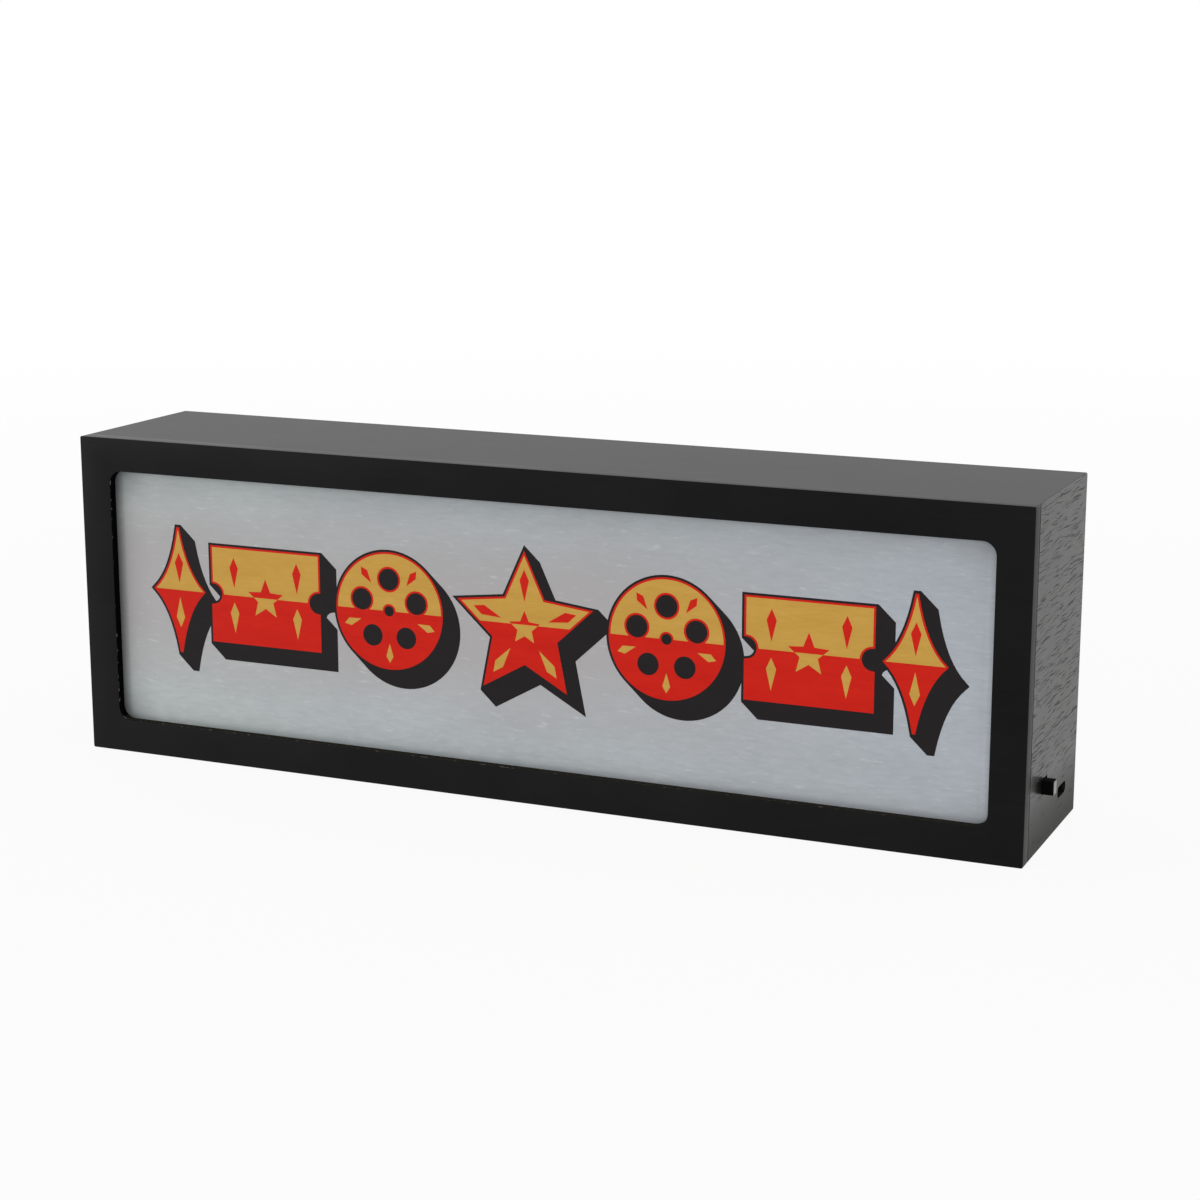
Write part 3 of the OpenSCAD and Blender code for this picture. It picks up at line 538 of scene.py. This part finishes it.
def startTree(name, labels):
    tree = bpy.data.node_groups.new(name, "GeometryNodeTree")
    tree.interface.new_socket("Places", in_out="INPUT", socket_type="NodeSocketGeometry")
    tree.interface.new_socket("Shape", in_out="OUTPUT", socket_type="NodeSocketGeometry")
    for label in labels:
        tree.interface.new_socket(label, in_out="INPUT", socket_type="NodeSocketFloat")
    return put(tree, "NodeGroupInput").outputs


def vector(owner, x, y, z):
    return made(owner, "ShaderNodeCombineXYZ", {0: x, 1: y, 2: z})


def moved(shape, x=0.0, y=0.0, z=0.0, turn=(0, 0, 0)):
    return made(shape, "GeometryNodeTransform",
                {"Geometry": shape, "Translation": vector(shape, x, y, z), "Rotation": turn})


def block(x, y, z):
    return made(x, "GeometryNodeMeshCube", {"Size": vector(x, x, y, z)})


def rod(sides, radius, length):
    return made(radius, "GeometryNodeMeshCylinder", {"Vertices": sides, "Radius": radius, "Depth": length})


def cone(sides, bottom, top, height):
    return made(bottom, "GeometryNodeMeshCone",
                {"Vertices": sides, "Radius Top": top, "Radius Bottom": bottom, "Depth": height})


def carved(shape, cutter, **settings):
    return made(shape, "GeometryNodeMeshBoolean", {"Mesh 1": shape, "Mesh 2": cutter},
                operation="DIFFERENCE", **settings)


def joined(*shapes):
    return made(shapes[0], "GeometryNodeJoinGeometry", {"Geometry": list(shapes)})


def dressed(shape, finish, **inputs):
    inputs = {"Geometry": shape, "Material": finishes[finish], **inputs}
    return made(shape, "GeometryNodeSetMaterial", inputs)


def finishTree(inputs, shape, finish, mask=None, second=None):  # a copy at each place, turned
    turn = made(shape, "GeometryNodeInputNamedAttribute", {"Name": "turn"}, data_type="FLOAT_VECTOR")
    copies = made(shape, "GeometryNodeInstanceOnPoints",
                  {"Points": inputs["Places"], "Instance": shape, "Rotation": turn})
    whole = dressed(made(shape, "GeometryNodeRealizeInstances", {"Geometry": copies}), finish)
    if mask:
        whole = dressed(whole, second, Selection=mask)
    put(shape, "NodeGroupOutput", {"Shape": whole})
    return shape.id_data


def runTree(tree, name, places, values, slot, *replaced, smooth=None):
    mesh = bpy.data.meshes.new(name + "Places")
    mesh.from_pydata([[value * mm for value in place] for place, _ in places], [], [])
    turns = mesh.attributes.new("turn", "FLOAT_VECTOR", "POINT")
    for i, (_, turn) in enumerate(places):
        turns.data[i].vector = [radians(angle) for angle in turn]
    carrier = addObject(name + "Places", mesh)
    modifier = carrier.modifiers.new("shape", "NODES")
    modifier.node_group = tree
    for item in tree.interface.items_tree:
        if item.in_out == "INPUT" and item.name in values:
            modifier[item.identifier] = values[item.name] * mm
    result = plainMesh(carrier)
    bpy.data.objects.remove(carrier)
    if result.materials[0] is None:
        result.materials.pop(index=0)
    if smooth:
        result.polygons.foreach_set("use_smooth", [True] * len(result.polygons))
        result.set_sharp_from_angle(angle=radians(smooth))
    return addPiece(name, result, None, slot, *replaced)


# Front frame

frameValues = {
    "Half width": 150.0, "Half height": 49.75, "Corner radius": 0.5,
    "Window border": 10.2, "Window radius": 4.0,
    "Front": -29.5, "Lip back": -26.5, "Frame back": -24.2,
    "Rebate border": 5.95, "Rebate radius": 0.3,
    "Seam depth": 0.4, "Seam width": 0.3,
    "Ease": 0.22,  # easing of the wrap over an edge
}
frameSteps = {
    "corner": 8, "ease": 4,
    "nick": 0.35,  # easing at the seam, of that at the front
    "wallReach": (0.05, 0.3),  # in mm: past the window's wall, and along its depth from its middle
}
cornerFollow = 0.6  # how far a corner's radius shrinks over an eased edge


def frameProfile(inputs, steps):  # once round the frame's section: inset, corner radius and depth
    ease = inputs["Ease"]
    radius = inputs["Corner radius"]
    seam = inputs["Seam depth"]
    lip = inputs["Lip back"]
    back = inputs["Frame back"]
    border = inputs["Window border"]
    windowRadius = inputs["Window radius"]
    rebate = (inputs["Rebate border"], inputs["Rebate radius"])
    nick = times(ease, steps["nick"])
    seamFront = minus(back, inputs["Seam width"])
    eased = plus(inputs["Front"], ease)
    profile = [(seam, radius, back), (seam, radius, seamFront), (nick, radius, seamFront),
               (0.0, radius, minus(seamFront, nick))]
    for along, out in quarter(1.0, steps["ease"], 0):
        inset = times(ease, 1 - along)
        corner = minus(radius, times(inset, cornerFollow))
        profile.append((inset, corner, minus(eased, times(ease, out))))
    for along, out in quarter(1.0, steps["ease"], 0):
        left = times(ease, 1 - out)
        profile.append((minus(border, left), plus(windowRadius, left), minus(eased, times(ease, along))))
    return [*profile, (border, windowRadius, lip), (*rebate, lip), (*rebate, back)]


def cutFaces(inputs, steps):  # 1 on the wall of the window and in the seam
    axes = axesOf(made(inputs[0], "GeometryNodeInputPosition"))
    across, deep = steps["wallReach"]
    wallMiddle = times(plus(plus(inputs["Front"], inputs["Ease"]), inputs["Lip back"]), 0.5)
    wall = combine("LESS_THAN", distanceFrom(axes[1], wallMiddle), deep * mm)
    for axis, middle, half in ((0, 0.0, "Half width"), (2, inputs["Half height"], "Half height")):
        reach = plus(minus(inputs[half], inputs["Window border"]), across * mm)
        wall = times(wall, combine("LESS_THAN", distanceFrom(axes[axis], middle), reach))
    seamStart = plus(minus(inputs["Frame back"], inputs["Seam width"]), -0.01 * mm)
    return combine("MAXIMUM", wall, combine("GREATER_THAN", axes[1], seamStart))


def frameTree(steps):  # a grid laid over rings of a rounded rectangle
    inputs = startTree("frontFrame", frameValues)
    middle = inputs["Half height"]
    rings = []
    for inset, corner, depth in frameProfile(inputs, steps):
        wide = times(minus(inputs["Half width"], inset), 2.0)
        tall = times(minus(middle, inset), 2.0)
        ring = made(wide, "GeometryNodeCurvePrimitiveQuadrilateral", {"Width": wide, "Height": tall})
        ring = made(ring, "GeometryNodeFilletCurve",
                    {"Curve": ring, "Count": steps["corner"], "Radius": corner}, mode="POLY")
        rings.append(moved(ring, 0.0, depth, middle, (pi / 2, 0, 0)))
    around = 4 * (steps["corner"] + 1)
    index = made(middle, "GeometryNodeInputIndex")
    row = combine("MODULO", combine("FLOOR", combine("DIVIDE", index, around + 1)), len(rings))
    along = combine("MODULO", combine("MODULO", index, around + 1), around)
    source = plus(plus(times(row, around), along), 0.25)
    position = made(index, "GeometryNodeInputPosition")
    found = made(index, "GeometryNodeSampleIndex",
                 {"Geometry": joined(*rings), "Value": position, "Index": source},
                 data_type="FLOAT_VECTOR", domain="POINT")
    skin = made(index, "GeometryNodeMeshGrid", {"Vertices X": len(rings) + 1, "Vertices Y": around + 1})
    skin = made(skin, "GeometryNodeSetPosition", {"Geometry": skin, "Position": found})
    skin = made(skin, "GeometryNodeMergeByDistance", {"Geometry": skin, "Distance": 0.001 * mm})
    return finishTree(inputs, skin, "frameWrap", cutFaces(inputs, steps), "cutEdge")


runTree(frameTree(frameSteps), "frontFrame", [((0, 0, 0), (0, 0, 0))], frameValues, "frame_wrap",
             "front_frame", smooth=30)
print("frame made")


# Boards of the case

caseValues = {
    "halfWidth": 150.0, "halfHeight": 49.75, "cornerRadius": 0.5, "cornerSteps": 8,
    "boardFront": -24.2, "boardBack": 29.5, "boardThick": 3.0,
    "innerRadius": 0.2,
    "ease": 0.35,  # easing of the wrap over an edge
    "easeSteps": 3,
    "nick": 0.12,  # easing at the seam behind the frame
    "seam": (0.4, 0.3),  # its depth and width; the top's wrap covers it
    "edgeLook": 0.6,  # a face this square to the front has the cut edge's finish
    "boards": [("top", "topWrap"), ("left", "sideWrap"), ("bottom", "topWrap"), ("right", "sideWrap")],
}

# Openings in the right-hand board, in mm: Y, height, length, rise and corner radius
boardOpenings = {
    "knobOpening": (-8.1, 17.8, 6.1, 4.6, 0.4),
    "socketOpening": (12.8, 10.7, 9.5, 3.4, 1.69),
}
cutterReach = (140, 160)


def boardRings(values, covered):
    ease = values["ease"]
    front = values["boardFront"]
    back = values["boardBack"]
    start = [(values["nick"], front), (0.0, front + values["nick"])]
    if covered:
        deep, wide = values["seam"]
        start = [(deep, front), (deep, front - wide), (0.0, front - wide)]
    profile = [(inset, values["cornerRadius"], y) for inset, y in start]
    for out, along in quarter(ease, values["easeSteps"], 0):
        radius = values["cornerRadius"] - (ease - out) * cornerFollow
        profile.append((ease - out, radius, back - ease + along))
    for out, along in quarter(ease, values["easeSteps"], 90):
        profile.append((values["boardThick"] - ease - out, values["innerRadius"], back - ease + along))
    profile.append((values["boardThick"], values["innerRadius"], front))
    half, middle = values["halfWidth"], values["halfHeight"]
    return [roundedRing(half - inset, middle - inset, radius, y, middle, values["cornerSteps"])
            for inset, radius, y in profile]


def makeBoards(values):  # each from the middle of one corner to the middle of the next
    stride = values["cornerSteps"] + 1
    for index, (side, finish) in enumerate(values["boards"]):
        first = index * stride + values["cornerSteps"] // 2
        mesh = skinRings(side + "Board", boardRings(values, side == "top"), first, first + stride)
        addPiece(side + "Board", mesh, finish, "wrap", side + "_board")
        secondFinish(mesh, "cutEdge", Vector((0, -1, 0)), values["edgeLook"])


def cutOpenings(piece, openings, reach):
    cutters = []
    for name, (y, z, length, rise, radius) in openings.items():
        outline = roundedRing(length / 2, rise / 2, radius, 0.0, 0.0, 8)
        shape = bmesh.new()
        near, far = [[shape.verts.new((x * mm, y * mm + across, z * mm + up)) for across, _, up in outline]
                     for x in reach]
        shape.faces.new(near)
        shape.faces.new(far)
        for corners in zip(near, near[1:] + near[:1], far[1:] + far[:1], far):
            shape.faces.new(corners)
        cutter = addObject(name, meshOf(name, shape))
        modifier = piece.modifiers.new(name, "BOOLEAN")
        modifier.object = cutter
        modifier.operation = "DIFFERENCE"
        modifier.solver = "EXACT"
        cutters.append(cutter)
    piece.data = plainMesh(piece)
    piece.modifiers.clear()
    for cutter in cutters:
        bpy.data.objects.remove(cutter)


makeBoards(caseValues)
cutOpenings(bpy.data.objects["rightBoard"], boardOpenings, cutterReach)
print("boards made")


# Print on the sheet

# In mm on the sheet: x across, z up. A shape has a face, a thin rim, a black rim and a slanting shade
printValues = {
    "y": -26.5,
    "thick": 0.04,
    "proud": 0.03,
    "split": 53.1,  # above it the face is yellow, below it red
    "splitPast": 0.2,  # how far the parting line runs past a face
    "rim": 0.6,
    "blackRim": 1.3,
    "shade": (5.0, -4.7),
    "kite": (3.0, 9.5),  # width and height of an inlaid kite
    "star": (21.5, 10.3),  # radius of its tips and of the corners between them
    "starCore": (5.2, 2.4),  # the same of its inlaid star
    "starDrop": 1.0,  # its middle, below the split
    "starKites": 12.6,  # its kites, from its middle
    "reelAt": 44.5,  # across, to both sides
    "reel": (17.3, 72),  # radius and sides, also of its hub and holes
    "hub": (2.2, 28),
    "hole": (3.9, 36),
    "holesOut": 9.6,  # its holes and kites, from its middle
    "reelKites": 12.9,
    "reelKite": (0.8, 0.62),  # width and height of its kites, as shares of a kite's
    "ticketAt": 87.0,
    "ticket": (37.0, 29.0, 3.8),  # width, height and radius of the notches
    "ticketStar": (6.4, 2.8),
    "ticketStarDrop": 0.4,
    "ticketKites": (11.0, 7.0),  # across and up from its middle
    "pointAt": 117.6,
    "point": (17.0, 38.0, 0.42),  # width, height and how far its sides curve in
    "pointKites": 7.0,
}


def pointFrom(x, z, distance, angle):
    return x + distance * cos(angle), z + distance * sin(angle)


def starOutline(x, z, outer, inner, tips=5):
    return [pointFrom(x, z, inner if i % 2 else outer, pi / 2 + pi * i / tips) for i in range(2 * tips)]


def circleOutline(x, z, radius, steps):
    return [pointFrom(x, z, radius, 2 * pi * i / steps) for i in range(steps)]


def ticketOutline(x, z, width, height, notch, steps=10):
    outline = []
    for side in (1, -1):
        outline.append((x + side * width / 2, z - side * height / 2))
        for i in range(steps + 1):
            angle = -pi / 2 + pi * i / steps
            outline.append((x + side * (width / 2 - notch * cos(angle)), z + side * notch * sin(angle)))
        outline.append((x + side * width / 2, z + side * height / 2))
    return outline


def pinchedOutline(x, z, width, height, pinch, steps=8):  # four points with sides that curve in
    tips = [(width / 2, 0), (0, height / 2), (-width / 2, 0), (0, -height / 2)]
    outline = []
    for start, end in zip(tips, tips[1:] + tips[:1]):
        bend = [(start[axis] + end[axis]) / 2 * (1 - pinch) for axis in (0, 1)]
        for step in range(steps):
            u = step / steps
            across, up = [(1 - u) ** 2 * start[axis] + 2 * u * (1 - u) * bend[axis] + u * u * end[axis]
                          for axis in (0, 1)]
            outline.append((x + across, z + up))
    return outline


def kiteOutline(x, z, wide, tall, angle=90):
    ahead = (cos(radians(angle)), sin(radians(angle)))
    side = (-ahead[1], ahead[0])
    outline = []
    for along, across in ((0.5, 0.0), (0.16, 0.5), (-0.5, 0.0), (0.16, -0.5)):  # of its height and width
        outline.append((x + ahead[0] * along * tall + side[0] * across * wide,
                        z + ahead[1] * along * tall + side[1] * across * wide))
    return outline


def withNeighbours(outline):  # each point with the one before it and the one after it
    return zip(outline[-1:] + outline[:-1], outline, outline[1:] + outline[:1])


def grown(outline, amount, limit=2.4):  # anticlockwise, moved outwards, its spikes cut square
    result = []
    for before, here, after in withNeighbours([Vector(point) for point in outline]):
        first = (here - before).normalized()
        second = (after - here).normalized()
        outFirst = Vector((first.y, -first.x))
        outSecond = Vector((second.y, -second.x))
        middle = (outFirst + outSecond).normalized()
        reach = 1 / max(middle.dot(outFirst), 0.05)
        if reach > limit and first.cross(second) * amount > 0:
            result.append(tuple(here + (outFirst + first) * amount))
            result.append(tuple(here + (outSecond - second) * amount))
        else:
            result.append(tuple(here + middle * amount * reach))
    return result


def inside(x, z, outlines):  # inside an odd number of them
    found = False
    for outline in outlines:
        for (endX, endZ), (startX, startZ), _ in withNeighbours(outline):
            if (startZ > z) != (endZ > z) and x < (endX - startX) * (z - startZ) / (endZ - startZ) + startX:
                found = not found
    return found


def crosses(a, b, c, d):
    def side(p, q, r):
        return (q[0] - p[0]) * (r[1] - p[1]) - (q[1] - p[1]) * (r[0] - p[0])
    return side(a, b, c) * side(a, b, d) < 0 and side(c, d, a) * side(c, d, b) < 0


def shaded(x, z, outlines, shade):
    end = (x - shade[0], z - shade[1])
    if inside(*end, outlines):
        return True
    return any(crosses((x, z), end, before, here)
               for outline in outlines for before, here, _ in withNeighbours(outline))


def colourAt(x, z, shapes, values):
    for shape in shapes:
        if inside(x, z, shape["face"]):
            return "Yellow" if (z > values["split"]) != inside(x, z, shape["inlays"]) else "Red"
    if any(inside(x, z, shape["rim"]) for shape in shapes):
        return "Red"
    for shape in shapes:
        if inside(x, z, shape["black"]) or shaded(x, z, shape["black"], values["shade"]):
            return "Black"
    return None


def printShapes(values):
    middle = values["split"]
    kite = values["kite"]
    reelKite = [part * size for part, size in zip(values["reelKite"], kite)]
    shapes = []

    def addShape(face, holes, inlays):  # each layer is its outline, then its holes
        layers = {"face": [face, *holes], "inlays": inlays}
        for name, amount in (("rim", values["rim"]), ("black", values["blackRim"])):
            layers[name] = [grown(face, amount), *[grown(hole, -amount) for hole in holes]]
        shapes.append(layers)

    arms = [90 + 72 * i for i in range(5)]
    low = middle - values["starDrop"]
    inlays = [kiteOutline(*pointFrom(0, low, values["starKites"], radians(arm)), *kite, arm) for arm in arms]
    inlays.append(starOutline(0, low, *values["starCore"]))
    addShape(starOutline(0, low, *values["star"]), [], inlays)

    for side in (-1, 1):
        x = side * values["reelAt"]
        holes = [circleOutline(x, middle, *values["hub"])]
        inlays = []
        for arm in arms:
            place = pointFrom(x, middle, values["holesOut"], radians(arm))
            holes.append(circleOutline(*place, *values["hole"]))
            place = pointFrom(x, middle, values["reelKites"], radians(arm + 36))
            inlays.append(kiteOutline(*place, *reelKite, arm + 36))
        addShape(circleOutline(x, middle, *values["reel"]), holes, inlays)

        x = side * values["ticketAt"]
        inlays = [starOutline(x, middle - values["ticketStarDrop"], *values["ticketStar"])]
        across, up = values["ticketKites"]
        inlays += [kiteOutline(x + i * across, middle + j * up, *kite) for i in (-1, 1) for j in (1, -1)]
        addShape(ticketOutline(x, middle, *values["ticket"]), [], inlays)

        x = side * values["pointAt"]
        up = values["pointKites"]
        inlays = [kiteOutline(x, middle + up, *kite), kiteOutline(x, middle - up, *kite, 270)]
        addShape(pinchedOutline(x, middle, *values["point"]), [], inlays)
    return shapes


def partedSheet(values, shapes):  # the sheet cut along every line of the print, as points and triangles
    shift = Vector(values["shade"])
    points = []
    edges = []

    def addRun(run):  # a closed outline, or a line where there are only two points
        first = len(points)
        points.extend(Vector(point) for point in run)
        for i in range(len(run) if len(run) > 2 else 1):
            edges.append((first + i, first + (i + 1) % len(run)))

    for shape in shapes:
        for outline in (*shape["face"], *shape["rim"], *shape["black"], *shape["inlays"]):
            addRun(outline)
        for outline in shape["black"]:
            corners = [Vector(point) for point in outline]
            addRun([here + shift for here in corners])
            for before, here, after in withNeighbours(corners):
                if (here - before).cross(shift) * (after - here).cross(shift) <= 0:
                    addRun([here, here + shift])
        across = [point[0] for point in shape["face"][0]]
        past = values["splitPast"]
        addRun([(min(across) - past, values["split"]), (max(across) + past, values["split"])])
    flat, _, triangles, _, _, _ = delaunay_2d_cdt(points, edges, [], 0, 1e-4, False)
    return flat, triangles


def makePrint(values):
    shapes = printShapes(values)
    flat, triangles = partedSheet(values, shapes)
    chosen = {"Black": [], "Red": [], "Yellow": []}
    for triangle in triangles:
        x, z = [sum(flat[i][axis] for i in triangle) / 3 for axis in (0, 1)]
        found = colourAt(x, z, shapes, values)
        if found:
            chosen[found].append(triangle)
    front = (values["y"] - values["proud"]) * mm
    for name, faces in chosen.items():
        shape = bmesh.new()
        corners = {}
        for face in faces:
            for i in face:
                if i not in corners:
                    corners[i] = shape.verts.new((flat[i][0] * mm, front, flat[i][1] * mm))
            shape.faces.new([corners[i] for i in face])
        extruded = bmesh.ops.extrude_face_region(shape, geom=list(shape.faces), use_keep_orig=True)
        backs = [item for item in extruded["geom"] if isinstance(item, bmesh.types.BMVert)]
        bmesh.ops.translate(shape, verts=backs, vec=(0, values["thick"] * mm, 0))
        addPiece("print" + name, meshOf("print" + name, shape), "ink" + name, "print")


makePrint(printValues)
print("print made")


# Pieces with eased edges

softened("back_panel", "backPanel", 0.2, "hardboard", "back_board")
softened("cell_tray", "cellTray", 0.15, "trayPlastic", "black_plastic")
softened("cell_door", "cellDoor", 0.12, "trayPlastic", "black_plastic", "door")
knob = softened("switch_knob", "switchKnob", 0.35, "knobPlastic", "knob_plastic", "knob", 3)
secondFinish(knob.data, "knobEnd", Vector((1, 0, 0)), 0.8)  # polished by the finger
softened("switch_can", "switchCan", 0.1, "tinnedSteel", "tinned_steel")
print("eased pieces made")


# Screws

# Each set's sizes, then its places and turns
screwSets = {
    "back": ({"Head radius": 2.9, "Head height": 1.6, "Shank radius": 1.45, "Shank length": 12.0},
             [((x, 27.0, z), (-90, 45, 0)) for x in (-125, 0, 125) for z in (7.5, 92.0)]),
    "switch": ({"Head radius": 1.8, "Head height": 1.1, "Shank radius": 0.95, "Shank length": 2.7},
               [((146.5, y, 17.8), (0, -90, 0)) for y in (-16.75, 0.55)]),
    "socket": ({"Head radius": 1.7, "Head height": 1.0, "Shank radius": 0.9, "Shank length": 4.7},
               [((137.7, y, 9.4), (0, 0, 0)) for y in (9.8, 15.8)]),
}
screwShares = {  # of the head's radius and height
    "rim": (0.96, 1.0, 0.3),  # lower radius, upper radius and height
    "crown": (0.99, 0.8, 0.72),  # the same of the part over the rim
    "crownStart": 0.28,
    "arm": (1.1, 0.24),  # length and width of an arm of the cross
    "armMiddles": (0.95, 0.99),
}


def screwTree(shares):  # head with a cross recess over a plain shank, standing along Z
    inputs = startTree("crossHeadScrew", screwSets["back"][0])
    radius = inputs["Head radius"]
    height = inputs["Head height"]
    length = inputs["Shank length"]

    def headPart(bottom, top, rise):
        return cone(32, times(radius, bottom), times(radius, top), times(height, rise))

    rim = headPart(*shares["rim"])
    crown = moved(headPart(*shares["crown"]), z=times(height, shares["crownStart"]))
    long, wide = [times(radius, size) for size in shares["arm"]]
    for x, y, middle in ((long, wide, shares["armMiddles"][0]), (wide, long, shares["armMiddles"][1])):
        bar = moved(block(x, y, height), z=times(height, middle))
        crown = carved(crown, bar, solver="EXACT")
    shank = moved(rod(20, inputs["Shank radius"], length), z=times(length, -0.5))
    return finishTree(inputs, joined(shank, rim, crown), "blackOxide")


screws = screwTree(screwShares)
for name, (values, places) in screwSets.items():
    runTree(screws, name + "Screws", places, values, "black_screw", name + "_screws", smooth=25)
print("screws made")


# Lamps on the strips

lampValues = {"Side": 5.0, "Height": 1.6, "Lens radius": 1.8, "Pad length": 1.0}
lampPlaces = {
    "lower": [((30.0 * i, -2.0, 3.4), (0, 0, 0)) for i in range(-4, 5)],
    "upper": [((30.0 * i, -2.0, 96.1), (180, 0, 0)) for i in range(-4, 5)],
}
lampShares = {  # of the side, the height, the lens radius and the pad length
    "top": (0.62, 0.57),  # lower and upper radius of the shell's narrower top
    "wellMiddle": 1.1,
    "gel": (0.99, 0.4, 0.76),  # radius, height and middle of the filling
    "pad": (0.6, 0.16),  # width and height of a foot
    "padOut": 0.45,
}


def lampShellTree(shares):  # a square shell with a narrower top and a round well
    inputs = startTree("lampShell", lampValues)
    side = inputs["Side"]
    height = inputs["Height"]
    half = times(height, 0.5)
    low = moved(block(side, side, half), z=times(height, 0.25))
    top = cone(4, *[times(side, size) for size in shares["top"]], half)
    top = moved(top, z=half, turn=(0, 0, pi / 4))
    well = moved(rod(24, inputs["Lens radius"], height), z=times(height, shares["wellMiddle"]))
    return finishTree(inputs, joined(low, carved(top, well)), "lampShell")


def lampGelTree(shares):  # the yellow filling of the well
    inputs = startTree("lampGel", lampValues)
    across, rise, middle = shares["gel"]
    height = inputs["Height"]
    gel = moved(rod(24, times(inputs["Lens radius"], across), times(height, rise)), z=times(height, middle))
    return finishTree(inputs, gel, "lampGel")


def lampPadTree(shares):  # a soldered foot on either side
    inputs = startTree("lampPads", lampValues)
    side = inputs["Side"]
    length = inputs["Pad length"]
    wide = times(side, shares["pad"][0])
    rise = times(inputs["Height"], shares["pad"][1])
    out = plus(times(side, 0.5), times(length, shares["padOut"]))
    feet = [moved(block(length, wide, rise), times(out, sign), 0.0, times(rise, 0.5)) for sign in (-1, 1)]
    return finishTree(inputs, joined(*feet), "tinnedSteel")


shellTree, gelTree, padTree = [make(lampShares) for make in (lampShellTree, lampGelTree, lampPadTree)]
for level, places in lampPlaces.items():
    runTree(shellTree, level + "LampShells", places, lampValues, "lamp", level + "_lamps")
    runTree(gelTree, level + "LampGels", places, lampValues, "lamp", smooth=30)
    runTree(padTree, level + "LampPads", places, lampValues, "tinned_steel")
print("lamps made")


# Contact springs and cells

cellRows = {"y": 18.55, "z": (34.85, 49.75, 64.65), "sides": (1, -1, 1)}  # the middle one is turned
coilValues = {"Base radius": 4.6, "Tip radius": 2.6, "Rise": 3.8, "Wire radius": 0.35}
coilSteps = {"turns": 4.0, "turn": 28, "wire": 10}
cellValues = {"Cell radius": 7.25, "Cell length": 50.5, "Raised radius": 2.75, "Raised length": 1.2}
cellSides = 56
cellParts = {  # finish, then tubes along Z: radius, start and end, each a size and what is added to it
    "cellSleeves": ("cellSleeve", [
        (("Cell radius", 0.0), ("Raised length", 14.0), ("Cell length", -0.4)),
        (("Cell radius", -0.35), ("Cell length", -0.5), ("Cell length", -0.15)),
    ]),
    "cellBands": ("cellBand", [
        (("Cell radius", 0.0), ("Raised length", 0.55), ("Raised length", 14.0)),
        (("Cell radius", -0.35), ("Raised length", 0.25), ("Raised length", 0.6)),
    ]),
    "cellEnds": ("springSteel", [
        (("Raised radius", 0.0), ("Raised length", -1.2), ("Raised length", 0.4)),
        (("Cell radius", -1.1), ("Raised length", 0.05), ("Raised length", 0.4)),
        (("Cell radius", -1.0), ("Cell length", -0.5), ("Cell length", 0.0)),
    ]),
}


def rowPlaces(rows, x):
    return [((x * side, rows["y"], z), (0, -90 * side * (1 if x > 0 else -1), 0))
            for z, side in zip(rows["z"], rows["sides"])]


def coilTree(steps):
    inputs = startTree("contactCoil", coilValues)
    path = made(inputs[0], "GeometryNodeCurveSpiral", {
        "Resolution": steps["turn"], "Rotations": steps["turns"], "Start Radius": inputs["Base radius"],
        "End Radius": inputs["Tip radius"], "Height": inputs["Rise"]})
    wire = made(path, "GeometryNodeCurvePrimitiveCircle",
                {"Resolution": steps["wire"], "Radius": inputs["Wire radius"]}, mode="RADIUS")
    coil = made(path, "GeometryNodeCurveToMesh", {"Curve": path, "Profile Curve": wire, "Fill Caps": True})
    return finishTree(inputs, coil, "springSteel")


def cellPartTree(name, finish, parts):
    inputs = startTree(name, cellValues)
    tubes = []
    for part in parts:
        across, low, high = [plus(inputs[size], added * mm) for size, added in part]
        tube = rod(cellSides, across, minus(high, low))
        tubes.append(moved(tube, z=times(plus(low, high), 0.5)))
    return finishTree(inputs, joined(*tubes), finish)


runTree(coilTree(coilSteps), "contactSprings", rowPlaces(cellRows, -27.25), coilValues, "spring_steel",
             "contact_springs", smooth=50)
cellPlaces = rowPlaces(cellRows, 27.5)
for name, (finish, parts) in cellParts.items():
    replaced = ("lower_cell", "middle_cell", "upper_cell") if name == "cellSleeves" else ()
    tree = cellPartTree(name, finish, parts)
    runTree(tree, name, cellPlaces, cellValues, "cell_jacket", *replaced, smooth=30)
print("springs and cells made")


# Finishes of the nodes that stay

keptFinishes = {
    "sheetFace": ["printed_sheet"],
    "opalFace": ["opal_panel"],
    "rawPine": ["upper_batten", "lower_batten", "left_batten", "right_batten", "screw_blocks",
                "socket_block"],
    "whiteCard": ["back_card"],
    "tinnedSteel": ["contact_plates", "switch_pins"],
    "phenolic": ["switch_base"],
    "copperAlloy": ["switch_bridge"],
    # partly painted shade: the shell is near-black to stand in for the shade inside the socket
    "socketShadeBlack": ["socket_shell", "socket_tongue"],
    "greenBoard": ["socket_circuit"],
    "stripWhite": ["upper_light_strip", "lower_light_strip"],
    "resistorBody": ["strip_resistors"],
    "leadRed": ["cell_lead_red", "socket_lead_red", "strip_lead_red", "link_lead_red"],
    "leadBlack": ["cell_lead_black", "socket_lead_black", "link_lead_black"],
}
for finish, nodes in keptFinishes.items():
    for node in nodes:
        for slot in cad[node].material_slots:
            slot.material = finishes[finish]
print("kept nodes finished")
